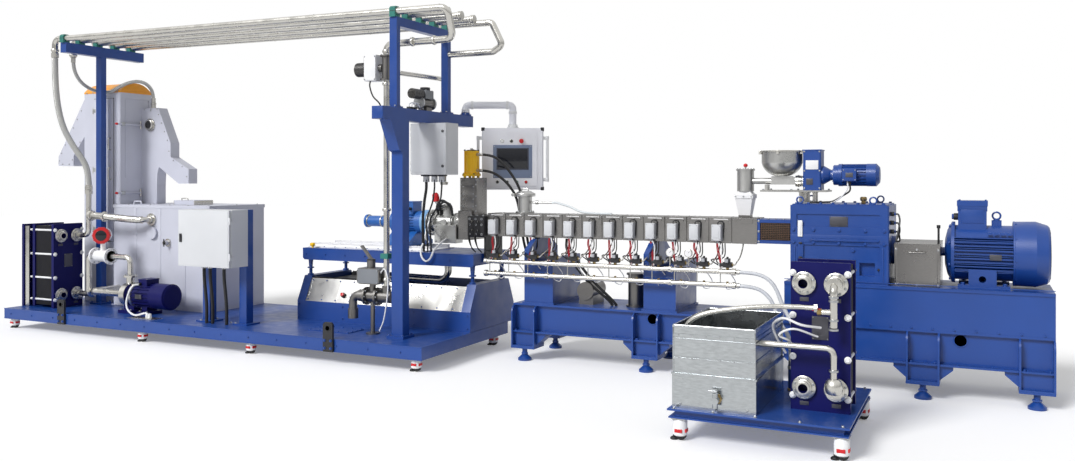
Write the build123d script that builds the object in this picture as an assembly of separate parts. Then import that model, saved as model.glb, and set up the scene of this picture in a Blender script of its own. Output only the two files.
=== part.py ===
from build123d import *
import math
import os

# Twin-screw plastic extruder with an underwater pelletising skid and a water cart.
# Working frame: x along the screws from the die end to the motor, y away from the viewer,
# z up from the floor, y = 0 at the screw axis. Millimetres.

# Extruder base
FRAME_X0 = 335
FRAME_TOP = 450
FRAME_TAIL = 20
TOP_PLATE = 15
TOP_HALF = 290
WEB_HALF = 262
WEB_PLATE = 16
RAIL_BOTTOM = 223
RAIL_FLANGE = 12
RAIL_HALF = 320
LEG_WIDTH = 205
LEG_HALF = 335
LEG_DEPTH = 185
LEG_BOTTOM = 108
LEG_PLATE = 12
LEG_OFFSETS = (0, 1021, 2221, 2944)
GUSSET_REACH = 80
GUSSET_DROP = 95
WEB_HOLE_RADIUS = 38
WEB_HOLES = (1164, 3272)
FOOT_INSET = 42
FOOT_PAD_RADIUS = 55
FOOT_PAD_HEIGHT = 44
FOOT_STUD_RADIUS = 20

# Drive pedestal, lantern, gearbox, guard and main motor
PEDESTAL_HEIGHT = 278
PEDESTAL_HALF = 295
PEDESTAL_LEAD = 40
PEDESTAL_CAP = 18
SCREW_ABOVE_PEDESTAL = 337
LANTERN_LENGTH = 265
LANTERN_HALF = 120
LANTERN_HEIGHT = 176
LANTERN_WALL = 18
GEARBOX_LENGTH = 652
GEARBOX_HALF = 290
GEARBOX_HEIGHT = 538
GEARBOX_EDGE = 16
GUARD_GAP = 30
GUARD_LENGTH = 282
GUARD_HALF = 240
GUARD_HEIGHT = 285
GUARD_SHEET = 3
SHAFT_RADIUS = 30
HUB_RADIUS = 52
HUB_LENGTH = 100
HUB_GAP = 6
MOTOR_GAP = 23
MOTOR_SHIELD = 62
MOTOR_BODY = 351
MOTOR_COWL = 210
MOTOR_SHAFT_HEIGHT = 225
MOTOR_CORE_RADIUS = 184
MOTOR_FIN_RADIUS = 206
MOTOR_FIN_PITCH = 27
MOTOR_FIN_THICKNESS = 7
COWL_RADIUS = 212
MOTOR_BOX_WIDTH = 187

# Barrel and its fittings
MODULE_LENGTH = 172
MODULE_COUNT = 12
FEED_LENGTH = 190
BARREL_HALF = 75
BARREL_FLANGE = 25
COVER_HALF = 120
COVER_ABOVE = 95
COVER_SHEET = 4
COVER_GAP = 4
SEAT_GAP = 0.3
HANDLE_LENGTH = 122
HANDLE_HEIGHT = 22
HANDLE_RISE = 7
TERMINAL_WIDTH = 72
TERMINAL_DEPTH = 50
TERMINAL_HEIGHT = 122
TERMINAL_INSET = 32
COLUMN_STARTS = (424, 1431)
COLUMN_WIDTH = 252
COLUMN_HALF = 275
COLUMN_PLATE = 42
COLUMN_PANEL_TOP = 765
COLUMN_FLANGE_TOP = 820
MANIFOLD_RADIUS = 18
MANIFOLD_LEVELS = (686, 783)
MANIFOLD_X = (103, 2150)
MANIFOLD_Y = -345
VALVE_WIDTH = 62
VACUUM_TANK_X = 1295
VACUUM_TANK_TOP = 700
VACUUM_PUMP_X = 900
VACUUM_PUMP_Z = 560
VENT_X = 292
VENT_RADIUS = 58
VENT_FLANGE_RADIUS = 79
VENT_HEIGHT = 186

# Feeder on top of the gearbox
STAND_X = (2516, 2651)
STAND_HEIGHT = 89
FEEDER_PLATE = 12
FEEDER_PLATE_X = (2279, 2740)
FEEDER_PLATE_HALF = 150
FEEDER_CASE_X = (2570, 2696)
FEEDER_CASE_HALF = 75
FEEDER_CASE_HEIGHT = 291
FEEDER_AXIS_HEIGHT = 109
FEEDER_MOTOR_END = 3086
FEEDER_MOTOR_RADIUS = 80
BOWL_X = 2408
BOWL_RADIUS = 146
BOWL_WALL = 4
BOWL_FLOOR_HEIGHT = 102
SCREW_TUBE_HEIGHT = 66
SCREW_TUBE_RADIUS = 23
DROP_RADIUS = 62
DROP_HEIGHT = 167
FUNNEL_HALF = 62
FUNNEL_X = 2139
FUNNEL_MOUTH_HALF = 43
FUNNEL_THROAT = 18

# Die head and pelletiser
ADAPTER_LENGTH = 160
ADAPTER_HALF = 175
DIVERTER_X = (-292, -114)
DIVERTER_HALF = 85
DIVERTER_TOP = 1457
RAM_X = -223
RAM_RADIUS = 53
RAM_TOP = 1684
CHAMBER_END = -618
CHAMBER_RADIUS = 78
CHAMBER_GUARD_X = (-513, -300)
FACE_RING_END = -716
FACE_RING_RADIUS = 101
CUTTER_MOTOR_END = -1014
CUTTER_MOTOR_RADIUS = 95
CUTTER_RAM_END = -1317
CUTTER_RAM_RADIUS = 49
TABLE_X = (-1799, -24)
TABLE_HALF = 315
TABLE_TOP = 825
TABLE_DEPTH = 105
RAIL_HEIGHT = 40
RAIL_PLATE_HALF = 250
TRAVEL_RAIL_Y = 150
TABLE_LEG_DROP = 145
TROLLEY_X = (-1801, -14)
TROLLEY_HALF = 385
DRAIN_REACH = 540
TROLLEY_LOW = 165
TROLLEY_HIGH = 380
TROLLEY_END = 170

# Pelletising skid
DECK_X = (-4798, -10)
DECK_Y = (-1110, 265)
DECK_BOTTOM = 97
DECK_TOP = 195
DECK_RIM = 60
DECK_PLATE_X = (-1290, -880)
DECK_PLATE_Y = (-850, -640)
CASTER_RADIUS = 58
CASTER_XS = (-4730, -2988, -1728, -98)
CASTER_YS = (-1045, 160)
BRACKET_XS = (-3963, -866)
BRACKET_WIDTH = 94
BRACKET_HEIGHT = 230
BRACKET_PLATE = 20
GANTRY_X = (-456, -352)
GANTRY_POST_Y = (-855, -763)
GANTRY_BEAM_Y = (-1115, 251)
GANTRY_BEAM_Z = (1907, 2005)
GANTRY_BASE_HALF = 78
PORTAL_POST_YS = ((-905, -858), (-144, -97))
PORTAL_POST_X = (-440, -372)
PORTAL_TOP = 2715
PORTAL_BEAM = 70
TEE_X = -4232
TEE_Y = -477
TEE_POST = 75
TEE_POST_DEPTH = 60
DRYER_TOP = 2320
TEE_ABOVE_DRYER = 440
TEE_TOP = DRYER_TOP + TEE_ABOVE_DRYER
TEE_BEAM_WIDTH = 80
TEE_BEAM_Y = (-900, 9)
TEE_BEAM_DEPTH = 95
PIPE_RADIUS = 28
PIPE_YS = (-885, -715, -515, -315, -120)
PIPE_ABOVE_TEE = 40
PIPE_ABOVE_PORTAL = 45
PIPE_HIGH = TEE_TOP + PIPE_ABOVE_TEE
PIPE_LOW = PORTAL_TOP + PIPE_ABOVE_PORTAL
PIPE_LEFT_X = -4290
PIPE_RIGHT_X = -20
FIRST_DROP_LENGTH = 130
SECOND_DROP_LENGTH = 160
FIRST_DROP = (-4370, PIPE_HIGH - FIRST_DROP_LENGTH)
SECOND_DROP = (-4333, PIPE_HIGH - SECOND_DROP_LENGTH)
RETURN_X = 75
RETURN_Y = -800
RETURN_Z = 2527
PIPE_BEND = 60
LOOP_X = 142
RISER_X = -570
RISER_Y = -760
FEED_RISER = (-500, 0)
VALVE_BELOW_RETURN = 187
VALVE_HALF_HEIGHT = 100
CROSS_BELOW_VALVE = 25
VALVE_A_Z = RETURN_Z - VALVE_BELOW_RETURN
CROSS_PIPE_Z = VALVE_A_Z - CROSS_BELOW_VALVE
VALVE_B_Y = -448
DRAIN_VALVE_Z = 500
GANTRY_BOX_X = (-531, -193)
GANTRY_BOX_Y = (-475, -275)
GANTRY_BOX_Z = (1482, 1907)
DRYER_RECESS_BOTTOM = 1450
DRYER_X = (-4608, -4079)
DRYER_Y = (-375, 8)
CAP_EDGE = 15
CAP_RISE = 90
RIGHT_CHUTE_Y = (-105, 8)
RIGHT_CHUTE = [(-4119, 2172), (-3851, 2172), (-3679, 1810), (-3679, 1668), (-3431, 1545), (-3431, 1399),
               (-3568, 1398), (-3843, 1567), (-3866, 1500), (-3880, 1193), (-4060, 1193), (-4119, 1400)]
LEFT_CHUTE_Y = (-315, -32)
LEFT_CHUTE = [(-4568, 2319), (-4655, 2319), (-5088, 1678), (-5088, 1582), (-4853, 1582), (-4853, 1689),
              (-4701, 1866), (-4608, 1990), (-4568, 1990)]
CHUTE_PORT = (-3964, 2000)
CHUTE_PORT_RADIUS = 50
HOSE_PORT = (-3988, -45, 2232)
LATCH_LEVELS = (1304, 1999)
TANK_X = (-4060, -2767)
TANK_Y = (-480, 255)
TANK_TOP = 1180
TANK_SHEET = 6
CABINET_X = (-2507, -1923)
CABINET_Y = (-1091, -875)
CABINET_Z = (700, 1182)
CABINET_SHEET = 6
CABINET_POST = 80
CABINET_DOOR = 22
CABINET_GASKET = 2
HINGE_OUT = 8
HINGE_FORE = 2
HINGE_HALF = 7
HINGE_HEIGHT = 30
DOOR_INSET = 6
GLAND_XS = (-2337, -2267, -2107)
PUMP_X = -3476
PUMP_Y = -764
PUMP_AXIS_HEIGHT = 169
PUMP_MOTOR_RADIUS = 118
PUMP_END = -2932
METER_X = -3846
METER_Z = 708
TANK_PIPE_X = -3520
TANK_PIPE_Z = 1088
HOSE_RISER = (-4146, 1338)
SKID_EXCHANGER_X = (-4796, -4330)
SKID_EXCHANGER_Y = (-930, -615)
EXCHANGER_HEIGHT = 815
EXCHANGER_WIDTH = 315
EXCHANGER_PLATE = 32
PORT_PITCH = 170
PORT_RADIUS = 64
PORT_BORE = 25
PORT_COLLAR = 36
PORT_LOW = 127
PORT_HIGH = 699

# Water cart
CART_X = (2164, 3131)
CART_Y = (-1975, -975)
CART_TOP = 178
CART_PLATE = 10
CART_RIM = 52
CART_TANK_X = (2185, 2637)
CART_TANK_Y = (-1916, -1182)
CART_TANK_TOP = 635
CART_TANK_SHEET = 5
CART_TANK_STEP = 370
CART_EXCHANGER_X = 2782
CART_EXCHANGER_Y = -1675
CART_EXCHANGER_DEPTH = 330

# Operator panel on its swivel arm
PANEL_PIVOT = (-403.8, 205.4)
PANEL_ARM_RADIUS = 31.5
SOCKET_HEIGHT = 30
PANEL_ARM_LENGTH = 421
PANEL_ARM_Z = 2102
PANEL_SIZE = (540, 130, 540)
PANEL_TOP = 1894
PANEL_TURN = 25.9

# Hoses, held at both ends
BRAIDED_RADIUS = 28
CHUTE_HOSE_RADIUS = 17
HYDRAULIC_RADIUS = 11
WATER_HOSE_RADIUS = 13
CONDUIT_RADIUS = 14
FITTING_RISE = 36
FITTING_X = 380
FITTING_YS = (202, 250)
CART_STUBS = ((2745, -1230), (2700, -1230))
CART_STUB_TOP = 330

# Heights and stations worked out from the sizes above
BARREL_LENGTH = MODULE_LENGTH * MODULE_COUNT + FEED_LENGTH
PEDESTAL_TOP = FRAME_TOP + PEDESTAL_HEIGHT
AXIS_Z = PEDESTAL_TOP + SCREW_ABOVE_PEDESTAL
MOTOR_AXIS_Z = PEDESTAL_TOP + MOTOR_SHAFT_HEIGHT
GEARBOX_X = BARREL_LENGTH + LANTERN_LENGTH
GEARBOX_END = GEARBOX_X + GEARBOX_LENGTH
GEARBOX_TOP = PEDESTAL_TOP + GEARBOX_HEIGHT
GUARD_X = GEARBOX_END + GUARD_GAP
MOTOR_X = GUARD_X + GUARD_LENGTH + MOTOR_GAP
MOTOR_BODY_X = MOTOR_X + MOTOR_SHIELD
COWL_X = MOTOR_BODY_X + MOTOR_BODY
FRAME_X1 = COWL_X + MOTOR_COWL + FRAME_TAIL
COVER_TOP = AXIS_Z + COVER_ABOVE
FEEDER_BASE = GEARBOX_TOP + STAND_HEIGHT + FEEDER_PLATE
LEG_STARTS = [FRAME_X0 + offset for offset in LEG_OFFSETS] + [FRAME_X1 - LEG_WIDTH]

nodes = {}


def block(x0, x1, y0, y1, z0, z1):
    centre = Pos((x0 + x1) / 2, (y0 + y1) / 2, (z0 + z1) / 2)
    return centre * Box(x1 - x0, y1 - y0, z1 - z0)


def rod_x(x0, x1, y, z, radius):
    return Pos((x0 + x1) / 2, y, z) * Rot(0, 90, 0) * Cylinder(radius, x1 - x0)


def rod_y(x, y0, y1, z, radius):
    return Pos(x, (y0 + y1) / 2, z) * Rot(90, 0, 0) * Cylinder(radius, y1 - y0)


def rod_z(x, y, z0, z1, radius):
    return Pos(x, y, (z0 + z1) / 2) * Cylinder(radius, z1 - z0)


def prism_x(points, x0, x1):
    outline = Polyline([(x0, y, z) for y, z in points], close=True)
    return extrude(make_face(outline.edges()), amount=x1 - x0, dir=(1, 0, 0))


def prism_y(points, y0, y1):
    outline = Polyline([(x, y0, z) for x, z in points], close=True)
    return extrude(make_face(outline.edges()), amount=y1 - y0, dir=(0, 1, 0))


def turned_z(profile, x, y, z):
    """Round solid about a vertical line, from (radius, height) pairs."""
    outline = Polyline([(x + radius, y, z + height) for radius, height in profile], close=True)
    return revolve(make_face(outline.edges()), Axis((x, y, z), (0, 0, 1)))


def turned_x(profile, x, y, z):
    """Round solid about a line along x, from (radius, distance) pairs."""
    outline = Polyline([(x + distance, y, z + radius) for radius, distance in profile], close=True)
    return revolve(make_face(outline.edges()), Axis((x, y, z), (1, 0, 0)))


def bent_pipe(points, radius, bend):
    """Round pipe along straight runs with one bend radius at every corner."""
    path = FilletPolyline(*points, radius=bend)
    start = Plane(origin=points[0], z_dir=path % 0)
    return sweep(start * Circle(radius), path=path)


def rod_between(start, end, radius):
    line = Line(start, end)
    return sweep(Plane(origin=start, z_dir=line % 0) * Circle(radius), path=line)


def hose(name, points, radius):
    """Round hose along straight runs, with an arc at every corner as large as the shorter run allows."""
    arcs = []
    for a, b, c in zip(points, points[1:], points[2:]):
        before, after = Vector(*b) - Vector(*a), Vector(*c) - Vector(*b)
        half_turn = math.radians(before.get_angle(after)) / 2
        arcs.append(0.45 * min(before.length, after.length) / math.tan(half_turn))
    path = FilletPolyline(*points, radius=arcs)
    tube = sweep(Plane(origin=points[0], z_dir=path % 0) * Circle(radius), path=path)
    print(name, "diameter", 2 * radius, "arcs", [round(arc) for arc in arcs],
          "volume share", round(tube.volume / (math.pi * radius ** 2 * path.length), 4))
    return tube


def both_sides(shape):
    """The shape and its mirror image across the screw axis, as one body."""
    return shape + mirror(shape, about=Plane.XZ)


def group(shapes):
    """Separate solids that make up one node."""
    return Compound([solid for shape in shapes for solid in shape.solids()])


# Extruder base frame: top plate, two flanged rails and five pairs of open legs
def leg_side_plate(x):
    arc_start = (-LEG_HALF, FRAME_TOP - 90)
    shoulder = (-TOP_HALF, FRAME_TOP - TOP_PLATE)
    mid = (-LEG_HALF + 10, FRAME_TOP - 38)
    edges = [
        Polyline(
            [(x, shoulder[0], shoulder[1]), (x, -LEG_HALF + LEG_DEPTH, shoulder[1]),
             (x, -LEG_HALF + LEG_DEPTH, LEG_BOTTOM), (x, -LEG_HALF, LEG_BOTTOM),
             (x, *arc_start)]),
        ThreePointArc((x, *arc_start), (x, *mid), (x, *shoulder)),
    ]
    outline = [edge for line in edges for edge in line.edges()]
    return extrude(make_face(outline), amount=LEG_PLATE, dir=(1, 0, 0))


def leg(x):
    x1 = x + LEG_WIDTH
    inner = -LEG_HALF + LEG_DEPTH
    parts = leg_side_plate(x) + leg_side_plate(x1 - LEG_PLATE)
    parts += block(x, x1, -LEG_HALF, inner, LEG_BOTTOM, LEG_BOTTOM + LEG_PLATE)
    parts += block(x, x1, -LEG_HALF + 38, inner, LEG_BOTTOM, RAIL_BOTTOM + 1)
    for edge, out in ((x, -1), (x1, 1)):
        outer = edge + out * GUSSET_REACH
        low = RAIL_BOTTOM - GUSSET_DROP
        gusset = [(edge, RAIL_BOTTOM), (outer, RAIL_BOTTOM), (outer, RAIL_BOTTOM - 25), (edge, low)]
        if FRAME_X0 <= outer <= FRAME_X1:
            parts += prism_y(gusset, -LEG_HALF + 38, inner)
    return parts


def base_frame():
    side = block(FRAME_X0, FRAME_X1, -WEB_HALF, -WEB_HALF + WEB_PLATE, RAIL_BOTTOM, FRAME_TOP)
    flange_top = RAIL_BOTTOM + RAIL_FLANGE
    side += block(FRAME_X0, FRAME_X1, -RAIL_HALF, -WEB_HALF + 40, RAIL_BOTTOM, flange_top)
    for x in LEG_STARTS:
        side += leg(x)
    for offset in WEB_HOLES:
        side -= rod_y(FRAME_X0 + offset, -WEB_HALF - 5, -WEB_HALF + WEB_PLATE + 5, FRAME_TOP - 58,
                      WEB_HOLE_RADIUS)
    frame = both_sides(side)
    frame += block(FRAME_X0, FRAME_X1, -TOP_HALF, TOP_HALF, FRAME_TOP - TOP_PLATE, FRAME_TOP)
    for x in LEG_STARTS:
        middle = x + LEG_WIDTH / 2
        frame += block(middle - 40, middle + 40, -WEB_HALF + 2, WEB_HALF - 2, 300, FRAME_TOP - 2)
    for y in FITTING_YS:
        frame += rod_z(FITTING_X, y, FRAME_TOP - 1, FRAME_TOP + FITTING_RISE, HYDRAULIC_RADIUS + 5)
    return frame


def levelling_feet():
    pad = [(0, 0), (FOOT_PAD_RADIUS, 0), (FOOT_PAD_RADIUS, 16), (24, FOOT_PAD_HEIGHT),
           (FOOT_STUD_RADIUS, FOOT_PAD_HEIGHT), (FOOT_STUD_RADIUS, LEG_BOTTOM), (0, LEG_BOTTOM)]
    row = LEG_HALF - FOOT_INSET
    return group(turned_z(pad, x + LEG_WIDTH / 2, y, 0) for x in LEG_STARTS for y in (-row, row))


# Drive train on the pedestal
def drive_pedestal():
    x0 = GEARBOX_X - PEDESTAL_LEAD
    body = block(x0, FRAME_X1, -PEDESTAL_HALF, PEDESTAL_HALF, FRAME_TOP, PEDESTAL_TOP)
    rebate = PEDESTAL_HALF - 8
    band = block(x0 - 1, FRAME_X1 + 1, rebate, PEDESTAL_HALF + 1, FRAME_TOP - 1, PEDESTAL_TOP - PEDESTAL_CAP)
    return body - band - mirror(band, about=Plane.XZ)


def lantern():
    z0 = AXIS_Z - LANTERN_HEIGHT / 2
    x0 = BARREL_LENGTH
    body = block(x0, GEARBOX_X, -LANTERN_HALF, LANTERN_HALF, z0, z0 + LANTERN_HEIGHT)
    window = block(x0 + LANTERN_WALL, GEARBOX_X - LANTERN_WALL, -LANTERN_HALF - 1,
                   -LANTERN_HALF + 14, z0 + 24, z0 + LANTERN_HEIGHT - 24)
    body -= window
    body -= mirror(window, about=Plane.XZ)
    return body


def gearbox():
    x0, x1, z0, z1 = GEARBOX_X, GEARBOX_END, PEDESTAL_TOP, GEARBOX_TOP
    body = block(x0, x1, -GEARBOX_HALF, GEARBOX_HALF, z0, z1)
    vertical = body.edges().filter_by(Axis.Z)
    body = fillet(vertical, GEARBOX_EDGE)
    front = -GEARBOX_HALF
    upper = block(x0 + 46, x1 - 60, front - 1, front + 9, z1 - 148, z1 - 62)
    lower = block(x0 + 46, x1 - 60, front - 1, front + 9, z0 + 60, z1 - 275)
    pocket = block(x1 - 190, x1 - 90, front - 1, front + 45, z0 + 62, z0 + 150)
    rib = prism_x([(front + 2, z1 - 222), (front - 12, z1 - 232), (front - 12, z1 - 242),
                   (front + 2, z1 - 252)], x0 + 150, x1 - 62)
    for recess in (upper, lower):
        body -= recess
        body -= mirror(recess, about=Plane.XZ)
    body -= pocket
    body += rib
    body += block(x0 + 14, x1 - 14, -GEARBOX_HALF + 12, GEARBOX_HALF - 12, z1 - 1, z1 + 8)
    body += rod_x(x1 - 5, x1 + 22, 0, MOTOR_AXIS_Z, HUB_RADIUS + 45)
    middle = GUARD_X + GUARD_LENGTH / 2
    body += rod_x(x1, middle - HUB_GAP / 2, 0, MOTOR_AXIS_Z, SHAFT_RADIUS)
    body += rod_x(middle - HUB_LENGTH, middle - HUB_GAP / 2, 0, MOTOR_AXIS_Z, HUB_RADIUS)
    return body


def coupling_guard():
    z0 = PEDESTAL_TOP
    z1 = z0 + GUARD_HEIGHT
    x1 = GUARD_X + GUARD_LENGTH
    shell = block(GUARD_X, x1, -GUARD_HALF, GUARD_HALF, z0, z1)
    t = GUARD_SHEET
    shell -= block(GUARD_X + t, x1 - t, -GUARD_HALF + t, GUARD_HALF - t, z0 - 1, z1 - t)
    shell -= rod_x(GUARD_X - 1, x1 + 1, 0, MOTOR_AXIS_Z, SHAFT_RADIUS + 8)
    rim = block(GUARD_X - 2, x1 + 2, -GUARD_HALF - 2, -GUARD_HALF + 1, z1 - 22, z1)
    handle = block(GUARD_X + 90, x1 - 90, -GUARD_HALF - 14, -GUARD_HALF + 1, z1 - 62, z1 - 48)
    return shell + rim + handle


def main_motor():
    axis = MOTOR_AXIS_Z
    x0, x1 = MOTOR_BODY_X, COWL_X
    body = turned_x([(0, -MOTOR_SHIELD), (90, -MOTOR_SHIELD), (150, -MOTOR_SHIELD + 14),
                     (MOTOR_FIN_RADIUS - 22, -30), (MOTOR_FIN_RADIUS, -20), (MOTOR_FIN_RADIUS, 0),
                     (0, 0)], x0, 0, axis)
    fins = Circle(MOTOR_CORE_RADIUS)
    level = -4 * MOTOR_FIN_PITCH
    while level <= 4 * MOTOR_FIN_PITCH:
        reach = math.sqrt(MOTOR_FIN_RADIUS ** 2 - level ** 2)
        fins += Pos(0, level) * Rectangle(2 * reach, MOTOR_FIN_THICKNESS)
        level += MOTOR_FIN_PITCH
    section = Plane(origin=(x0, 0, axis), x_dir=(0, 1, 0), z_dir=(1, 0, 0))
    body += extrude(section * fins, amount=x1 - x0)
    foot_top = PEDESTAL_TOP + 22
    for side in (-1, 1):
        outer = side * (MOTOR_CORE_RADIUS + 10)
        inner = side * 110
        y0, y1 = min(outer, inner), max(outer, inner)
        foot = block(x0 + 20, x1 - 20, y0, y1, PEDESTAL_TOP, foot_top)
        foot += block(x0 + 85, x1 - 100, y0 + 4, y1 - 4, foot_top - 1, axis - 100)
        foot -= rod_y((x0 + x1) / 2 - 8, y0 - 1, y1 + 1, PEDESTAL_TOP + 62, 22)
        body += foot
    box_x1 = x0 + 13 + MOTOR_BOX_WIDTH
    box_top = axis + 350
    body += block(x0 + 20, box_x1 - 7, -95, 95, axis + 150, box_top - 34)
    body += block(x0 + 13, box_x1, -102, 102, box_top - 35, box_top)
    eye_x = box_x1 + 52
    body += block(eye_x - 30, eye_x + 30, -30, 30, axis + 150, axis + MOTOR_FIN_RADIUS + 14)
    middle = GUARD_X + GUARD_LENGTH / 2
    body += rod_x(middle + HUB_GAP / 2, MOTOR_X, 0, axis, SHAFT_RADIUS)
    body += rod_x(middle + HUB_GAP / 2, middle + HUB_LENGTH, 0, axis, HUB_RADIUS)
    return body + motor_cowl()


def motor_cowl():
    length = MOTOR_COWL
    profile = [(0, 0), (COWL_RADIUS, 0), (COWL_RADIUS + 3, length * 0.62),
               (COWL_RADIUS - 20, length - 12), (COWL_RADIUS - 32, length), (0, length)]
    cowl = turned_x(profile, COWL_X, 0, MOTOR_AXIS_Z)
    under = block(COWL_X - 1, COWL_X + length + 1, -260, 260, PEDESTAL_TOP - 50, PEDESTAL_TOP + 4)
    return cowl - under


# Barrel, covers and supports
def barrel():
    body = block(0, BARREL_LENGTH, -BARREL_HALF, BARREL_HALF, AXIS_Z - 70, AXIS_Z + 70)
    half = COVER_HALF - COVER_SHEET - SEAT_GAP
    top = COVER_TOP - COVER_SHEET - SEAT_GAP
    joints = [index * MODULE_LENGTH for index in range(MODULE_COUNT + 1)] + [BARREL_LENGTH]
    for x in joints:
        x0 = max(0, x - BARREL_FLANGE / 2)
        x1 = min(BARREL_LENGTH, x + BARREL_FLANGE / 2)
        body += block(x0, x1, -half, half, AXIS_Z - 90, top)
    throat = FUNNEL_MOUTH_HALF
    throat_top = COVER_TOP + FUNNEL_THROAT
    body += block(FUNNEL_X - throat, FUNNEL_X + throat, -throat, throat, AXIS_Z, throat_top)
    return body


def cover(x0, x1):
    z0 = AXIS_Z - COVER_ABOVE
    shell = block(x0, x1, -COVER_HALF, COVER_HALF, z0, COVER_TOP)
    inner = COVER_HALF - COVER_SHEET
    shell -= block(x0 - 1, x1 + 1, -inner, inner, z0 - 1, COVER_TOP - COVER_SHEET)
    middle = (x0 + x1) / 2
    side = Plane(origin=(middle, -COVER_HALF, COVER_TOP - 26), x_dir=(1, 0, 0), z_dir=(0, -1, 0))
    handle = extrude(side * SlotOverall(HANDLE_LENGTH, HANDLE_HEIGHT), amount=HANDLE_RISE)
    return shell + handle + mirror(handle, about=Plane.XZ)


def barrel_covers():
    covers = []
    for index in range(MODULE_COUNT):
        x0 = index * MODULE_LENGTH + COVER_GAP / 2
        covers.append(cover(x0, x0 + MODULE_LENGTH - COVER_GAP))
    feed_x0 = MODULE_COUNT * MODULE_LENGTH + COVER_GAP / 2
    feed = cover(feed_x0, BARREL_LENGTH - COVER_GAP / 2)
    throat = FUNNEL_MOUTH_HALF + 2
    feed -= block(FUNNEL_X - throat, FUNNEL_X + throat, -throat, throat, AXIS_Z, COVER_TOP + 1)
    covers.append(feed)
    return group(covers)


def terminal_boxes():
    boxes = []
    z0 = AXIS_Z - 78
    for index in range(MODULE_COUNT):
        x0 = index * MODULE_LENGTH + TERMINAL_INSET
        case = block(x0, x0 + TERMINAL_WIDTH, -COVER_HALF - TERMINAL_DEPTH, -COVER_HALF, z0,
                     z0 + TERMINAL_HEIGHT)
        gland = rod_z(x0 + TERMINAL_WIDTH / 2, -COVER_HALF - TERMINAL_DEPTH / 2, z0 - 16, z0 + 1, 12)
        boxes.append(chamfer(case.faces().sort_by(Axis.Y)[0].edges(), 3) + gland)
    return group(boxes)


def barrel_support(x0):
    saddle_top = AXIS_Z - 70
    plate_top = AXIS_Z - COVER_ABOVE - 12
    left = block(x0, x0 + COLUMN_PLATE, -COLUMN_HALF, COLUMN_HALF, FRAME_TOP, COLUMN_PANEL_TOP)
    left += prism_x([(-COLUMN_HALF, COLUMN_PANEL_TOP - 1), (COLUMN_HALF, COLUMN_PANEL_TOP - 1),
                     (COLUMN_HALF - 130, plate_top), (-COLUMN_HALF + 130, plate_top)],
                    x0, x0 + COLUMN_PLATE)
    left += block(x0, x0 + COLUMN_PLATE, -BARREL_HALF, BARREL_HALF, plate_top - 1, saddle_top)
    x1 = x0 + COLUMN_WIDTH
    right = block(x1 - COLUMN_PLATE, x1, -COLUMN_HALF, COLUMN_HALF, FRAME_TOP, COLUMN_FLANGE_TOP)
    corner = x0 + COLUMN_PLATE
    panel = [
        Polyline([(corner - 1, -COLUMN_HALF, FRAME_TOP), (x1 - 1, -COLUMN_HALF, FRAME_TOP),
                  (x1 - 1, -COLUMN_HALF, COLUMN_PANEL_TOP), (corner + 45, -COLUMN_HALF, COLUMN_PANEL_TOP)]),
        ThreePointArc((corner + 45, -COLUMN_HALF, COLUMN_PANEL_TOP), (corner + 12, -COLUMN_HALF, 785),
                      (corner, -COLUMN_HALF, 830)),
        Polyline([(corner, -COLUMN_HALF, 830), (corner - 1, -COLUMN_HALF, 830),
                  (corner - 1, -COLUMN_HALF, FRAME_TOP)]),
    ]
    outline = [edge for line in panel for edge in line.edges()]
    front = extrude(make_face(outline), amount=20, dir=(0, 1, 0))
    neck = [(-COLUMN_HALF, 760), (-COLUMN_HALF, 880), (-150, plate_top), (150, plate_top),
            (COLUMN_HALF, 880), (COLUMN_HALF, 760)]
    left += prism_x(neck, x0, x0 + COLUMN_PLATE)
    foot = block(x0 - 12, x1 + 12, -COLUMN_HALF - 12, COLUMN_HALF + 12, FRAME_TOP, FRAME_TOP + 14)
    return left + right + both_sides(front) + foot


def cooling_manifolds():
    pipes = []
    x0, x1 = MANIFOLD_X
    column_front = -COLUMN_HALF
    for z in MANIFOLD_LEVELS:
        pipe = rod_x(x0, x1, MANIFOLD_Y, z, MANIFOLD_RADIUS)
        for x in (x0, x1 - 24):
            pipe += rod_x(x, x + 24, MANIFOLD_Y, z, MANIFOLD_RADIUS + 7)
        for start in COLUMN_STARTS:
            middle = start + COLUMN_WIDTH - COLUMN_PLATE / 2
            pipe += rod_x(middle - 12, middle + 12, MANIFOLD_Y, z, MANIFOLD_RADIUS + 6)
            pipe += block(middle - 9, middle + 9, MANIFOLD_Y, column_front, z - 9, z + 9)
        pipes.append(pipe)
    return group(pipes)


def solenoid_valves():
    valves = []
    z0 = MANIFOLD_LEVELS[1] + MANIFOLD_RADIUS
    for index in range(MODULE_COUNT):
        middle = MANIFOLD_X[0] + 95 + index * MODULE_LENGTH
        for start in COLUMN_STARTS:
            flange = start + COLUMN_WIDTH - COLUMN_PLATE / 2
            if abs(middle - flange) < 50:
                middle = flange - 62
        body = block(middle - VALVE_WIDTH / 2, middle + VALVE_WIDTH / 2, MANIFOLD_Y - 14,
                     MANIFOLD_Y + 26, z0 + 12, z0 + 50)
        body += rod_z(middle, MANIFOLD_Y, z0 + 0.2, z0 + 13, 9)
        valves.append(body)
    return group(valves)


def vent_dome():
    flange = VENT_FLANGE_RADIUS
    profile = [(0, 0), (flange, 0), (flange, 14), (VENT_RADIUS, 14), (VENT_RADIUS, 140),
               (flange, 142), (flange, 168), (VENT_RADIUS - 8, VENT_HEIGHT), (0, VENT_HEIGHT)]
    dome = turned_z(profile, VENT_X, 0, COVER_TOP)
    dome += rod_x(VENT_X, VENT_X + 250, 0, COVER_TOP + 92, 9)
    dome += rod_x(VENT_X + 100, VENT_X + 122, 0, COVER_TOP + 92, 16)
    return dome


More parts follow.
